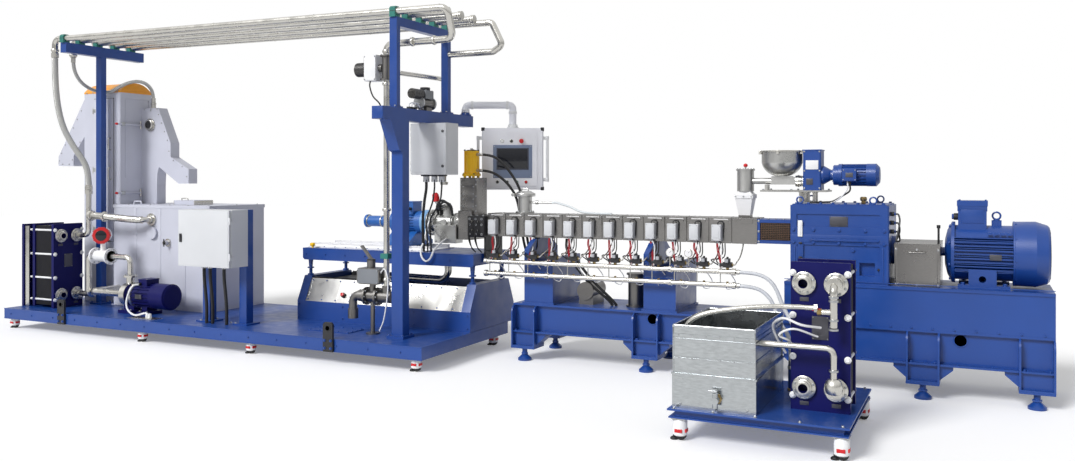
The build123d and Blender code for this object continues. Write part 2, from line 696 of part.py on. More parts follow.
def vacuum_set():
    x, z = VACUUM_PUMP_X, VACUUM_PUMP_Z
    pump = rod_y(x, -150, 120, z, 70)
    pump += block(x - 60, x + 60, -130, 100, FRAME_TOP, z - 40)
    pump += block(x - 30, x + 30, -60, 20, z + 40, z + 100)
    tank = rod_z(VACUUM_TANK_X, -60, FRAME_TOP + 12, VACUUM_TANK_TOP, 62)
    tank += rod_z(VACUUM_TANK_X, -60, FRAME_TOP, FRAME_TOP + 13, 78)
    tank += rod_z(VACUUM_TANK_X, -60, VACUUM_TANK_TOP - 1, VACUUM_TANK_TOP + 12, 74)
    return group([pump, tank])


# Feeder
def feeder_stand():
    x0, x1 = STAND_X
    z0, z1 = GEARBOX_TOP + 8, GEARBOX_TOP + STAND_HEIGHT
    middle = (x0 + x1) / 2
    stand = block(max(x0, GEARBOX_X + 16), x1 + 14, -80, 80, z0, z0 + 10)
    stand += rod_z(middle - 12, 0, z0, z1, 34)
    for y in (-60, 60):
        stand += rod_z(x1 - 6, y, z0, z1, 8)
        stand += rod_z(x0 + 34, y, z0, z1, 8)
    x2, x3 = FEEDER_PLATE_X
    stand += block(x2, x3, -FEEDER_PLATE_HALF, FEEDER_PLATE_HALF, z1, z1 + FEEDER_PLATE)
    stand += block(BOWL_X - 118, BOWL_X - 98, -40, 40, z1, FEEDER_BASE + BOWL_FLOOR_HEIGHT - 62)
    return stand


def feeder_drive():
    x0, x1 = FEEDER_CASE_X
    axis = FEEDER_BASE + FEEDER_AXIS_HEIGHT
    half = FEEDER_CASE_HALF
    case = block(x0, x1, -half, half, FEEDER_BASE, FEEDER_BASE + FEEDER_CASE_HEIGHT)
    case = chamfer(case.edges().filter_by(Axis.Z), 8)
    bell = turned_x([(0, 0), (66, 0), (66, 12), (38, 60), (38, 78), (72, 80), (72, 112),
                     (FEEDER_MOTOR_RADIUS, 114), (FEEDER_MOTOR_RADIUS, 140), (0, 140)], x1, 0, axis)
    barrel_x0 = x1 + 139
    barrel_x1 = FEEDER_MOTOR_END - 85
    ribs = Circle(FEEDER_MOTOR_RADIUS - 12)
    for step in range(20):
        ribs += Rot(0, 0, 18 * step) * Pos(FEEDER_MOTOR_RADIUS - 10, 0) * Rectangle(16, 5)
    section = Plane(origin=(barrel_x0, 0, axis), x_dir=(0, 1, 0), z_dir=(1, 0, 0))
    body = extrude(section * ribs, amount=barrel_x1 - barrel_x0 + 1)
    cap = FEEDER_MOTOR_END - barrel_x1
    cowl = turned_x([(0, 0), (FEEDER_MOTOR_RADIUS, 0), (FEEDER_MOTOR_RADIUS, cap - 22),
                     (FEEDER_MOTOR_RADIUS - 24, cap), (0, cap)], barrel_x1, 0, axis)
    terminals = block(barrel_x0 + 8, barrel_x0 + 98, -FEEDER_MOTOR_RADIUS - 34, -40, axis - 45, axis + 45)
    return case + bell + body + cowl + terminals


def hopper_bowl():
    rim = FEEDER_BASE + FEEDER_CASE_HEIGHT - 3
    floor = FEEDER_BASE + BOWL_FLOOR_HEIGHT
    depth = rim - floor
    outer = BOWL_RADIUS
    inner = outer - BOWL_WALL
    knee = floor + depth * 0.52
    edges = [
        Line((BOWL_X, 0, floor), (BOWL_X + 34, 0, floor)),
        ThreePointArc((BOWL_X + 34, 0, floor), (BOWL_X + 114, 0, floor + depth * 0.2),
                      (BOWL_X + outer, 0, knee)),
        Polyline([(BOWL_X + outer, 0, knee), (BOWL_X + outer, 0, rim - 10),
                  (BOWL_X + outer + 14, 0, rim - 10), (BOWL_X + outer + 14, 0, rim),
                  (BOWL_X + inner, 0, rim), (BOWL_X + inner, 0, knee)]),
        ThreePointArc((BOWL_X + inner, 0, knee), (BOWL_X + 111, 0, floor + depth * 0.2 + 4),
                      (BOWL_X + 32, 0, floor + BOWL_WALL)),
        Polyline([(BOWL_X + 32, 0, floor + BOWL_WALL), (BOWL_X, 0, floor + BOWL_WALL), (BOWL_X, 0, floor)]),
    ]
    outline = [edge for line in edges for edge in line.edges()]
    return revolve(make_face(outline), Axis((BOWL_X, 0, floor), (0, 0, 1)))


def feed_screw_tube():
    axis = FEEDER_BASE + SCREW_TUBE_HEIGHT
    floor = FEEDER_BASE + BOWL_FLOOR_HEIGHT
    x1 = FEEDER_CASE_X[0]
    trough = prism_y([(BOWL_X - 78, axis - 26), (x1 - 60, axis - 26), (x1 - 60, axis + 20),
                      (BOWL_X + 70, floor), (BOWL_X - 70, floor)], -34, 34)
    tube = rod_x(FUNNEL_X, x1, 0, axis, SCREW_TUBE_RADIUS)
    tube += rod_x(x1 - 62, x1 - 22, 0, axis, 40)
    tube += rod_x(x1 - 14, x1, 0, axis, 40)
    drop_z0 = COVER_TOP + FUNNEL_THROAT + 177
    drop = rod_z(FUNNEL_X, 0, drop_z0, drop_z0 + DROP_HEIGHT, DROP_RADIUS)
    drop += rod_z(FUNNEL_X, 0, drop_z0 + DROP_HEIGHT - 12, drop_z0 + DROP_HEIGHT, DROP_RADIUS + 7)
    drop += rod_z(FUNNEL_X, 0, drop_z0 + DROP_HEIGHT, drop_z0 + DROP_HEIGHT + 16, 6)
    knob = Pos(FUNNEL_X, 0, drop_z0 + DROP_HEIGHT + 26) * Sphere(15)
    return trough + tube + drop + knob


def feed_funnel():
    z0 = COVER_TOP + FUNNEL_THROAT
    z1 = z0 + 177
    outer, inner = FUNNEL_HALF, FUNNEL_MOUTH_HALF

    def square(z, half):
        return Plane(origin=(FUNNEL_X, 0, z)) * Rectangle(2 * half, 2 * half)

    knee = z0 + 118
    cone = loft([square(z0, inner), square(knee, outer)])
    cone -= loft([square(z0, inner - 4), square(knee, outer - 4)])
    skirt = block(FUNNEL_X - outer, FUNNEL_X + outer, -outer, outer, knee, z1 - 22)
    skirt -= block(FUNNEL_X - outer + 4, FUNNEL_X + outer - 4, -outer + 4, outer - 4, knee - 1, z1 - 21)
    brim = block(FUNNEL_X - outer - 7, FUNNEL_X + outer + 7, -outer - 7, outer + 7, knee + 8, knee + 36)
    brim -= block(FUNNEL_X - outer + 4, FUNNEL_X + outer - 4, -outer + 4, outer - 4, knee, knee + 40)
    lid = loft([square(z1 - 22, outer), square(z1, outer - 18)])
    return cone + skirt + brim + lid


# Die head
def adapter_block():
    half = ADAPTER_HALF
    upper = block(-ADAPTER_LENGTH, 0, -half, half, AXIS_Z - 104, AXIS_Z + 72)
    lower = block(TABLE_X[1] + 5, 0, -half + 30, half - 30, AXIS_Z - 313, AXIS_Z - 103)
    return chamfer(upper.edges().filter_by(Axis.X), 8) + lower


def diverter_valve():
    x0, x1 = DIVERTER_X
    half = DIVERTER_HALF
    shelf = AXIS_Z + 72
    column = block(x0, x1, -half, half, shelf, DIVERTER_TOP)
    column = chamfer(column.edges().filter_by(Axis.Z), 10)
    body = block(x0, -ADAPTER_LENGTH, -half - 25, half + 25, AXIS_Z - 135, shelf + 40)
    groove = block(x0 - 1, x0 + 6, -30, 30, shelf + 60, DIVERTER_TOP - 40)
    return column + body - groove


def hydraulic_cylinder():
    z0 = DIVERTER_TOP
    ram = rod_z(RAM_X, 0, z0 + 28, RAM_TOP, RAM_RADIUS)
    ram += block(RAM_X - 58, RAM_X + 58, -58, 58, z0 + 14, z0 + 34)
    for dx in (-42, 42):
        for dy in (-42, 42):
            ram += rod_z(RAM_X + dx, dy, z0, z0 + 46, 12)
    for z in (z0 + 62, RAM_TOP - 28):
        ram += rod_x(RAM_X + RAM_RADIUS - 6, RAM_X + RAM_RADIUS + 26, 0, z, 10)
    return ram


# Cutting chamber and its drive, which ride together on the table rails
CHAMBER_FACE = DIVERTER_X[0] - SEAT_GAP
CARRIAGE_BASE = TABLE_TOP + RAIL_HEIGHT


def cutting_chamber():
    body = rod_x(CHAMBER_END, CHAMBER_FACE - 24, 0, AXIS_Z, CHAMBER_RADIUS)
    body += rod_x(CHAMBER_FACE - 26, CHAMBER_FACE, 0, AXIS_Z, CHAMBER_RADIUS + 26)
    body += rod_x(CHAMBER_END, CHAMBER_END + 30, 0, AXIS_Z, CHAMBER_RADIUS + 30)
    middle = (CHAMBER_END + CHAMBER_FACE) / 2
    outlet = Pos(middle, -10, AXIS_Z + 60) * Rot(0, -22, 0) * Cylinder(48, 190)
    clamp = Pos(middle - 34, -10, AXIS_Z + 138) * Rot(0, -22, 0) * Cylinder(62, 26)
    body += outlet + clamp
    body += rod_z(middle, 0, AXIS_Z - 155, AXIS_Z - 60, 30)
    x0, x1 = CHAMBER_GUARD_X
    front = -CHAMBER_RADIUS - 57
    body += block(x0, x1, front, -20, AXIS_Z - 167, AXIS_Z - 9)
    return body


def cutter_drive():
    ring = rod_x(FACE_RING_END, CHAMBER_END, 0, AXIS_Z, FACE_RING_RADIUS)
    x1 = FACE_RING_END
    x0 = CUTTER_MOTOR_END
    fins = Circle(CUTTER_MOTOR_RADIUS - 12)
    for step in range(24):
        fins += Rot(0, 0, 15 * step) * Pos(CUTTER_MOTOR_RADIUS - 10, 0) * Rectangle(20, 5)
    section = Plane(origin=(x0 + 40, 0, AXIS_Z), x_dir=(0, 1, 0), z_dir=(1, 0, 0))
    motor = extrude(section * fins, amount=x1 - x0 - 70)
    motor += rod_x(x1 - 40, x1, 0, AXIS_Z, CUTTER_MOTOR_RADIUS + 3)
    motor += rod_x(x0, x0 + 41, 0, AXIS_Z, CUTTER_MOTOR_RADIUS)
    motor += block(x0 + 60, x1 - 60, -70, 70, AXIS_Z + 70, AXIS_Z + 178)
    ram = rod_x(CUTTER_RAM_END, x0, 0, AXIS_Z, CUTTER_RAM_RADIUS)
    ram += rod_x(CUTTER_RAM_END, CUTTER_RAM_END + 22, 0, AXIS_Z, CUTTER_RAM_RADIUS + 10)
    saddle_top = AXIS_Z - CUTTER_MOTOR_RADIUS + 15
    saddle = prism_x([(-190, CARRIAGE_BASE + SEAT_GAP), (190, CARRIAGE_BASE + SEAT_GAP),
                      (190, CARRIAGE_BASE + 34), (62, saddle_top), (-62, saddle_top),
                      (-190, CARRIAGE_BASE + 34)], x0 + 20, x1 - 20)
    return ring + motor + ram + saddle


def pelletiser_table():
    x0, x1 = TABLE_X
    bottom = TABLE_TOP - TABLE_DEPTH
    frame = block(x0, x1, -TABLE_HALF, TABLE_HALF, bottom, TABLE_TOP)
    frame = chamfer(frame.edges().filter_by(Axis.Y).sort_by(Axis.Z)[:2], 18)
    frame -= block(x0 + 10, x1 - 10, -TABLE_HALF + 10, TABLE_HALF - 10, bottom - 1, TABLE_TOP - 12)
    seat = DECK_TOP + TROLLEY_HIGH
    stud = [(0, 0), (30, 0), (14, 22), (14, 62), (30, 64), (30, 74), (16, 76),
            (24, TABLE_LEG_DROP + 30), (24, TABLE_DEPTH + TABLE_LEG_DROP - 10),
            (0, TABLE_DEPTH + TABLE_LEG_DROP - 10)]
    for x in (x0 + 42, x1 - 42):
        for y in (-TABLE_HALF + 60, TABLE_HALF - 60):
            frame += turned_z(stud, x, y, seat)
    return frame


def table_rails():
    x0 = TABLE_X[0] + 8
    x1 = CHAMBER_GUARD_X[0] - 30
    plate = block(x0, x1, -RAIL_PLATE_HALF, RAIL_PLATE_HALF, TABLE_TOP, TABLE_TOP + 8)
    for y in (-TRAVEL_RAIL_Y, TRAVEL_RAIL_Y):
        plate += prism_x([(y - 20, TABLE_TOP + 7), (y + 20, TABLE_TOP + 7), (y + 12, TABLE_TOP + 22),
                          (y + 20, CARRIAGE_BASE - 8), (y + 20, CARRIAGE_BASE), (y - 20, CARRIAGE_BASE),
                          (y - 20, CARRIAGE_BASE - 8), (y - 12, TABLE_TOP + 22)], x0, x1)
    return plate


def trolley_pedestal():
    x0, x1 = TROLLEY_X
    z0 = DECK_TOP
    low = z0 + TROLLEY_LOW
    high = z0 + TROLLEY_HIGH
    half = TROLLEY_HALF
    body = block(x0, x1, -half, half, z0, low)
    end = [(-half, low - 1), (half, low - 1), (half - 100, high), (-half + 100, high)]
    body += prism_x(end, x0, x0 + TROLLEY_END / 2)
    body += prism_x(end, x1 - TROLLEY_END / 2, x1)
    return body


def splash_panels():
    x0 = TROLLEY_X[0] + TROLLEY_END / 2
    x1 = TROLLEY_X[1] - TROLLEY_END / 2
    low = DECK_TOP + TROLLEY_LOW
    half = TROLLEY_HALF - 6
    high = DECK_TOP + TROLLEY_HIGH - 20
    panel = [(-half, low), (-half + 92, high), (-half + 97, high), (-half + 5, low)]
    front = prism_x(panel, x0, x1)
    return group([front, mirror(front, about=Plane.XZ)])


def catch_tray():
    x0, x1 = TROLLEY_X[0] + 110, TROLLEY_X[0] + 560
    z0 = DECK_TOP + TROLLEY_HIGH - 50
    tray = [(-285, z0 + 40), (-255, z0), (255, z0), (285, z0 + 40), (279, z0 + 42), (252, z0 + 6),
            (-252, z0 + 6), (-279, z0 + 42)]
    body = prism_x(tray, x0, x1)
    for x in (x0 + 40, x1 - 46):
        body += block(x, x + 6, -200, 200, DECK_TOP + TROLLEY_LOW, z0 + 1)
    return body


def drain_pipes():
    z1 = TABLE_TOP - 12
    z0 = DECK_TOP + TROLLEY_HIGH - 10
    tray_x = TROLLEY_X[0] + DRAIN_REACH
    outer = bent_pipe([(-440, -40, z1), (-440, -40, z0), (tray_x, -40, z0 + 10)], 24, 90)
    inner = bent_pipe([(-500, 90, z1), (-500, 90, z0), (tray_x, 90, z0 + 10)], 24, 90)
    return group([outer, inner])


# Pelletising skid: rimmed deck, casters and lifting brackets
def skid_deck():
    x0, x1 = DECK_X
    y0, y1 = DECK_Y
    deck = block(x0, x1, y0, y1, DECK_BOTTOM, DECK_TOP)
    deck -= block(x0 + DECK_RIM, x1 - DECK_RIM, y0 + DECK_RIM, y1 - DECK_RIM, DECK_BOTTOM - 1,
                  DECK_TOP - 12)
    for x in CASTER_XS[1:3]:
        deck += block(x - 60, x + 60, y0 + 10, y1 - 10, DECK_BOTTOM, DECK_TOP - 2)
    deck += block(*DECK_PLATE_X, *DECK_PLATE_Y, DECK_TOP - 1, DECK_TOP + 6)
    return deck


def caster(x, y, top):
    radius = CASTER_RADIUS
    profile = [(0, 0), (radius - 8, 0), (radius, 18), (radius, top - 40), (30, top - 16), (30, top), (0, top)]
    return turned_z(profile, x, y, 0)


def casters():
    wheels = [caster(x, y, DECK_BOTTOM) for x in CASTER_XS for y in CASTER_YS]
    under = CART_TOP - CART_RIM
    for x in (CART_X[0] + 60, CART_X[1] - 45):
        for y in (CART_Y[0] + 52, CART_Y[1] - 52):
            wheels.append(caster(x, y, under))
    return group(wheels)


def lifting_brackets():
    brackets = []
    front = DECK_Y[0]
    for x in BRACKET_XS:
        top = DECK_BOTTOM + BRACKET_HEIGHT
        plate = block(x - BRACKET_WIDTH / 2, x + BRACKET_WIDTH / 2, front - BRACKET_PLATE, front,
                      DECK_BOTTOM, top)
        plate = chamfer(plate.edges().filter_by(Axis.Y).sort_by(Axis.Z)[-2:], 16)
        plate -= rod_y(x, front - BRACKET_PLATE - 1, front + 1, top - 45, 19)
        brackets.append(plate)
    return group(brackets)


# Gantry and pipe supports
def gantry():
    x0, x1 = GANTRY_X
    y0, y1 = GANTRY_POST_Y
    z0 = DECK_TOP
    beam_z0, beam_z1 = GANTRY_BEAM_Z
    post = block(x0, x1, y0, y1, z0, beam_z0 + 1)
    cx, cy = (x0 + x1) / 2, (y0 + y1) / 2
    half = GANTRY_BASE_HALF
    post += block(cx - half, cx + half, cy - half, cy + half, z0, z0 + 20)
    post += block(x0, x1, GANTRY_BEAM_Y[0], GANTRY_BEAM_Y[1], beam_z0, beam_z1)
    post += prism_x([(y0 - 160, beam_z0 + 1), (y0 + 1, beam_z0 + 1), (y0 + 1, beam_z0 - 250),
                     (y0 - 40, beam_z0 - 235)], x0, x1)
    x, y = PANEL_PIVOT
    post += rod_z(x, y, beam_z1 - 1, beam_z1 + 14, PANEL_ARM_RADIUS + 20)
    post += rod_z(x, y, beam_z1 + 13, beam_z1 + SOCKET_HEIGHT, PANEL_ARM_RADIUS + 8)
    return post + portal()


def portal():
    x0, x1 = PORTAL_POST_X
    z0 = GANTRY_BEAM_Z[1]
    front, back = PORTAL_POST_YS
    frame = block(x0, x1, front[0], back[1], PORTAL_TOP - PORTAL_BEAM, PORTAL_TOP)
    for y0, y1 in (front, back):
        frame += block(x0, x1, y0, y1, z0 - 1, PORTAL_TOP - PORTAL_BEAM + 1)
        frame += block(x0 - 10, x1 + 10, y0 - 25, y1 + 25, z0 - 1, z0 + 12)
    return frame


def tee_post():
    half = TEE_POST / 2
    deep = TEE_POST_DEPTH / 2
    z1 = TEE_TOP - TEE_BEAM_DEPTH
    post = block(TEE_X - half, TEE_X + half, TEE_Y - deep, TEE_Y + deep, DECK_TOP, z1 + 1)
    post += block(TEE_X - half - 40, TEE_X + half + 40, TEE_Y - deep - 40, TEE_Y + deep + 25,
                  DECK_TOP, DECK_TOP + 16)
    wide = TEE_BEAM_WIDTH / 2
    post += block(TEE_X - wide, TEE_X + wide, TEE_BEAM_Y[0], TEE_BEAM_Y[1], z1, TEE_TOP)
    return post


PORTAL_X = (PORTAL_POST_X[0] + PORTAL_POST_X[1]) / 2


def on_pipe(x, y):
    """Point on the centre line of an overhead pipe, which falls a little from the tee to the portal."""
    share = (x - TEE_X) / (PORTAL_X - TEE_X)
    return x, y, PIPE_HIGH + share * (PIPE_LOW - PIPE_HIGH)


def pipe_clamps():
    clamps = []
    for x, seat in ((TEE_X, TEE_TOP), (PORTAL_X, PORTAL_TOP)):
        for y in PIPE_YS:
            body = block(x - 26, x + 26, y - 36, y + 36, seat, on_pipe(x, y)[2] + 38)
            body = chamfer(body.edges().filter_by(Axis.X).sort_by(Axis.Z)[-2:], 14)
            bore = rod_between(on_pipe(x - 30, y), on_pipe(x + 30, y), PIPE_RADIUS + SEAT_GAP)
            clamps.append(body - bore)
    return group(clamps)


def overhead_pipes():
    first, second, third, fourth, fifth = PIPE_YS
    radius, bend = PIPE_RADIUS, PIPE_BEND
    drop_x, drop_z = FIRST_DROP
    long_runs = [
        bent_pipe([(drop_x, first, drop_z), on_pipe(drop_x, first), on_pipe(RETURN_X, first),
                   (RETURN_X, RETURN_Y, RETURN_Z), (RISER_X, RISER_Y, RETURN_Z),
                   (RISER_X, RISER_Y, VALVE_A_Z + VALVE_HALF_HEIGHT)], radius, bend),
    ]
    drop_x, drop_z = SECOND_DROP
    long_runs.append(bent_pipe([(drop_x, second, drop_z), on_pipe(drop_x, second),
                                on_pipe(PIPE_RIGHT_X, second)], radius, bend))
    for y in (third, fourth):
        long_runs.append(rod_between(on_pipe(PIPE_LEFT_X, y), on_pipe(PIPE_RIGHT_X, y), radius))
    post_face = PORTAL_POST_X[1] + SEAT_GAP
    low = PIPE_LOW - 250
    long_runs.append(bent_pipe([on_pipe(PIPE_LEFT_X, fifth), on_pipe(LOOP_X - 100, fifth),
                                (LOOP_X, fifth, PIPE_LOW - 200), (LOOP_X - 90, fifth, low),
                                (post_face, fifth, low)], radius, bend * 0.7))
    return group(long_runs + risers())


def risers():
    x, y = FEED_RISER
    drain = rod_z(RISER_X, RISER_Y, DRAIN_VALVE_Z + 90, VALVE_A_Z - VALVE_HALF_HEIGHT, PIPE_RADIUS - 4)
    feed = bent_pipe([(RISER_X, RISER_Y + 60, CROSS_PIPE_Z), (RISER_X, RISER_Y + 130, CROSS_PIPE_Z),
                      (x, y - 120, CROSS_PIPE_Z), (x, y, CROSS_PIPE_Z), (x, y, AXIS_Z + 330)],
                     PIPE_RADIUS - 8, 36)
    for z in (CROSS_PIPE_Z - 400, AXIS_Z + 340):
        feed += rod_z(x, y, z, z + 16, PIPE_RADIUS + 8)
    return [drain, feed]


def actuator(x, y, z, out):
    """Valve actuator beside a pipe: white case, hand wheel cap and neck, along x."""
    case = block(min(x + out * 70, x + out * 186), max(x + out * 70, x + out * 186), y - 52, y + 52,
                 z - 104, z + 104)
    case = chamfer(case.edges().filter_by(Axis.X), 14)
    near, far = sorted((x + out * 34, x + out * 71))
    neck = rod_x(near, far, y, z, 30)
    near, far = sorted((x + out * 185, x + out * 282))
    wheel = rod_x(near, far, y, z - 6, 56)
    return case + neck + wheel


def process_valves():
    front = RISER_Y
    body = rod_z(RISER_X, front, VALVE_A_Z - VALVE_HALF_HEIGHT, VALVE_A_Z + VALVE_HALF_HEIGHT, 36)
    for z in (VALVE_A_Z - VALVE_HALF_HEIGHT, VALVE_A_Z + VALVE_HALF_HEIGHT - 12):
        body += rod_z(RISER_X, front, z, z + 12, 52)
    body += rod_y(RISER_X, front, front + 60, CROSS_PIPE_Z, 32)
    upper = body + actuator(RISER_X, front, VALVE_A_Z, -1)
    base = GANTRY_BEAM_Z[1]
    y = VALVE_B_Y
    lower = block(PORTAL_X - 40, PORTAL_X + 40, y - 40, y + 40, base, base + 30)
    lower += rod_y(PORTAL_X, y - 90, y + 90, base + 66, 40)
    lower += block(PORTAL_X - 46, PORTAL_X + 46, y - 56, y + 56, base + 100, base + 168)
    lower += rod_z(PORTAL_X, y, base + 167, base + 196, 40)
    lower += rod_y(PORTAL_X, y - 200, y - 56, base + 134, 40)
    return group([upper, lower, drain_valve()])


def drain_valve():
    front = RISER_Y
    z = DRAIN_VALVE_Z
    body = rod_z(RISER_X, front, z - 10, z + 90, 36)
    body += rod_x(RISER_X - 260, RISER_X + 60, front, z, 48)
    body += rod_x(RISER_X - 200, RISER_X - 180, front, z, 72)
    body += rod_x(RISER_X - 90, RISER_X - 70, front, z, 72)
    elbow = bent_pipe([(RISER_X - 250, front, z), (RISER_X - 330, front, z), (RISER_X - 330, front, z - 130)],
                      34, 60)
    elbow += rod_z(RISER_X - 330, front, z - 190, z - 110, 42)
    case = block(RISER_X - 250, RISER_X - 32, front - 60, front + 60, z + 100, z + 230)
    case = chamfer(case.edges().filter_by(Axis.Y), 20)
    neck = rod_z(RISER_X - 135, front, z + 30, z + 101, 26)
    stand = rod_z(RISER_X - 135, front, DECK_TOP, z - 30, 18)
    stand += rod_z(RISER_X - 135, front, DECK_TOP, DECK_TOP + 12, 55)
    top = rod_z(RISER_X - 150, front, z + 229, z + 290, 34)
    lever = prism_y([(RISER_X - 150, z + 285), (RISER_X - 250, z + 400), (RISER_X - 236, z + 408),
                     (RISER_X - 130, z + 290)], front - 14, front + 14)
    return body + elbow + case + neck + stand + top + lever


def control_box():
    x0, x1 = GANTRY_BOX_X
    y0, y1 = GANTRY_BOX_Y
    z0, z1 = GANTRY_BOX_Z
    case = block(x0, x1, y0 + 24, y1, z0, z1)
    door = block(x0 - 1, x1 + 1, y0, y0 + 20, z0 + 2, z1 - 2)
    case += block(x0 + 8, x1 - 8, y0 + 19, y0 + 25, z0 + 8, z1 - 8)
    body = case + door
    for x in (x0 + 90, x0 + 170, x0 + 240):
        body += rod_z(x, (y0 + y1) / 2, z0 - 60, z0 + 1, 26)
    return body


# Dryer, water tank and cabinet on the skid
def dryer_tower():
    x0, x1 = DRYER_X
    y0, y1 = DRYER_Y
    body = block(x0, x1, y0, y1, DECK_TOP, DRYER_TOP)
    body -= block(x1 - 70, x1 - 62, y0 - 1, y0 + 6, DECK_TOP + 300, DRYER_TOP - 30)
    door_x = x0 + 150
    body += block(door_x, x1 - 96, y0 - 12, y0 + 1, DECK_TOP + 620, DRYER_TOP - 60)
    body -= block(x1 - 8, x1 + 1, y0 + 50, y1 - 30, DRYER_RECESS_BOTTOM, DRYER_TOP - 60)
    for z in LATCH_LEVELS:
        body += rod_y(x1 + 14, y0 - 50, y0 + 235, z, 9)
        body += block(x1 - 1, x1 + 20, y0 + 10, y0 + 34, z - 12, z + 12)
    return body + dryer_chutes()


def dryer_chutes():
    y0, y1 = RIGHT_CHUTE_Y
    right = prism_y(RIGHT_CHUTE, y0, y1)
    x, z = CHUTE_PORT
    right += rod_y(x, y0 - 30, y0 + 1, z, CHUTE_PORT_RADIUS)
    x, y, z = HOSE_PORT
    right += rod_z(x, y, RIGHT_CHUTE[0][1] - 1, z, CHUTE_HOSE_RADIUS + 6)
    left = prism_y(LEFT_CHUTE, LEFT_CHUTE_Y[0], LEFT_CHUTE_Y[1])
    return right + left


def dryer_cap():
    x0, x1 = DRYER_X
    y0, y1 = DRYER_Y
    foot, spring = DRYER_TOP, DRYER_TOP + CAP_EDGE
    arch = ThreePointArc((x0, y0, spring), (x0, (y0 + y1) / 2, spring + CAP_RISE), (x0, y1, spring))
    sides = Polyline([(x0, y1, spring), (x0, y1, foot), (x0, y0, foot), (x0, y0, spring)])
    return extrude(make_face([*arch.edges(), *sides.edges()]), amount=x1 - x0, dir=(1, 0, 0))


def water_tank():
    x0, x1 = TANK_X
    y0, y1 = TANK_Y
    t = TANK_SHEET
    shell = block(x0, x1, y0, y1, DECK_TOP, TANK_TOP)
    shell = fillet(shell.edges().filter_by(Axis.Z), 20)
    shell -= block(x0 + t, x1 - t, y0 + t, y1 - t, DECK_TOP + t, TANK_TOP + 1)
    shell += block(x0 - 12, x1 + 12, y0 - 12, y0 + 1, DECK_TOP, DECK_TOP + 8)
    shell += rod_y(x0 + 760, y0 - 50, y0 + 1, DECK_TOP + 640, 22)
    shell += rod_y(x0 + 560, y0 - 24, y0 + 1, DECK_TOP + 730, 60)
    return shell


def tank_lid():
    x0, x1 = TANK_X
    y0, y1 = TANK_Y
    z0 = TANK_TOP
    lid = block(x0, x1, y0, y1, z0, z0 + 12)
    lid += block(x0 + 640, x0 + 910, y0 + 180, y0 + 420, z0 + 11, z0 + 56)
    left, right, y = x0 + 230, x0 + 330, y0 + 60
    handle = bent_pipe([(left, y, z0 + 10), (left, y, z0 + 44), (right, y, z0 + 44), (right, y, z0 + 10)],
                       7, 15)
    return lid + handle


def hinge_levels():
    return CABINET_Z[0] + 60, CABINET_Z[1] - 120


def hinge_axis():
    return CABINET_X[1] + HINGE_OUT, CABINET_Y[0] - HINGE_FORE


def cabinet_case():
    x0, x1 = CABINET_X
    y0, y1 = CABINET_Y
    z0, z1 = CABINET_Z
    t = CABINET_SHEET
    front = y0 + CABINET_DOOR + CABINET_GASKET
    case = block(x0, x1, front, y1, z0, z1)
    case -= block(x0 + t, x1 - t, front - 1, y1 - t, z0 + t, z1 - t)
    case += block(x0 + 60, x1 - 60, y1 - t - 12, y1 - t + 1, z0 + 60, z1 - 60)
    for x in GLAND_XS:
        case += rod_z(x, (y0 + y1) / 2 + 20, z0 - 24, z0 + 1, 22)
    hx, hy = hinge_axis()
    for z in hinge_levels():
        case += block(x1 - 1, hx + HINGE_HALF, hy, front + 30, z, z + HINGE_HEIGHT)
        case += rod_z(hx, hy, z, z + HINGE_HEIGHT, HINGE_HALF)
    return case


def cabinet_door():
    x0, x1 = CABINET_X
    y0 = CABINET_Y[0]
    z0, z1 = CABINET_Z
    door = block(x0, x1 - DOOR_INSET, y0, y0 + CABINET_DOOR, z0, z1)
    pocket = 4
    door -= block(x0 + 18, x1 - 18, y0 + pocket, y0 + CABINET_DOOR + 1, z0 + 18, z1 - 18)
    lock_z = (z0 + z1) / 2
    door += block(x0 + 22, x0 + 44, y0 - 8, y0 + pocket, lock_z - 34, lock_z + 34)
    hx, hy = hinge_axis()
    for z in hinge_levels():
        lug_z = z + HINGE_HEIGHT + SEAT_GAP
        door += block(x1 - DOOR_INSET - 1, hx, hy - 5, y0 + 5, lug_z, lug_z + HINGE_HEIGHT)
        door += rod_z(hx, hy, lug_z, lug_z + HINGE_HEIGHT, HINGE_HALF)
    return door


def cabinet_posts():
    x0, x1 = CABINET_X
    back = CABINET_Y[1]
    width = CABINET_POST
    posts = []
    for x in (x0 + 64, x1 - 16 - width):
        post = block(x, x + width, back, back + width, DECK_TOP, CABINET_Z[1])
        post += block(x - 40, x + width + 40, back - 40, back + width + 40, DECK_TOP, DECK_TOP + 12)
        posts.append(post)
    return group(posts)


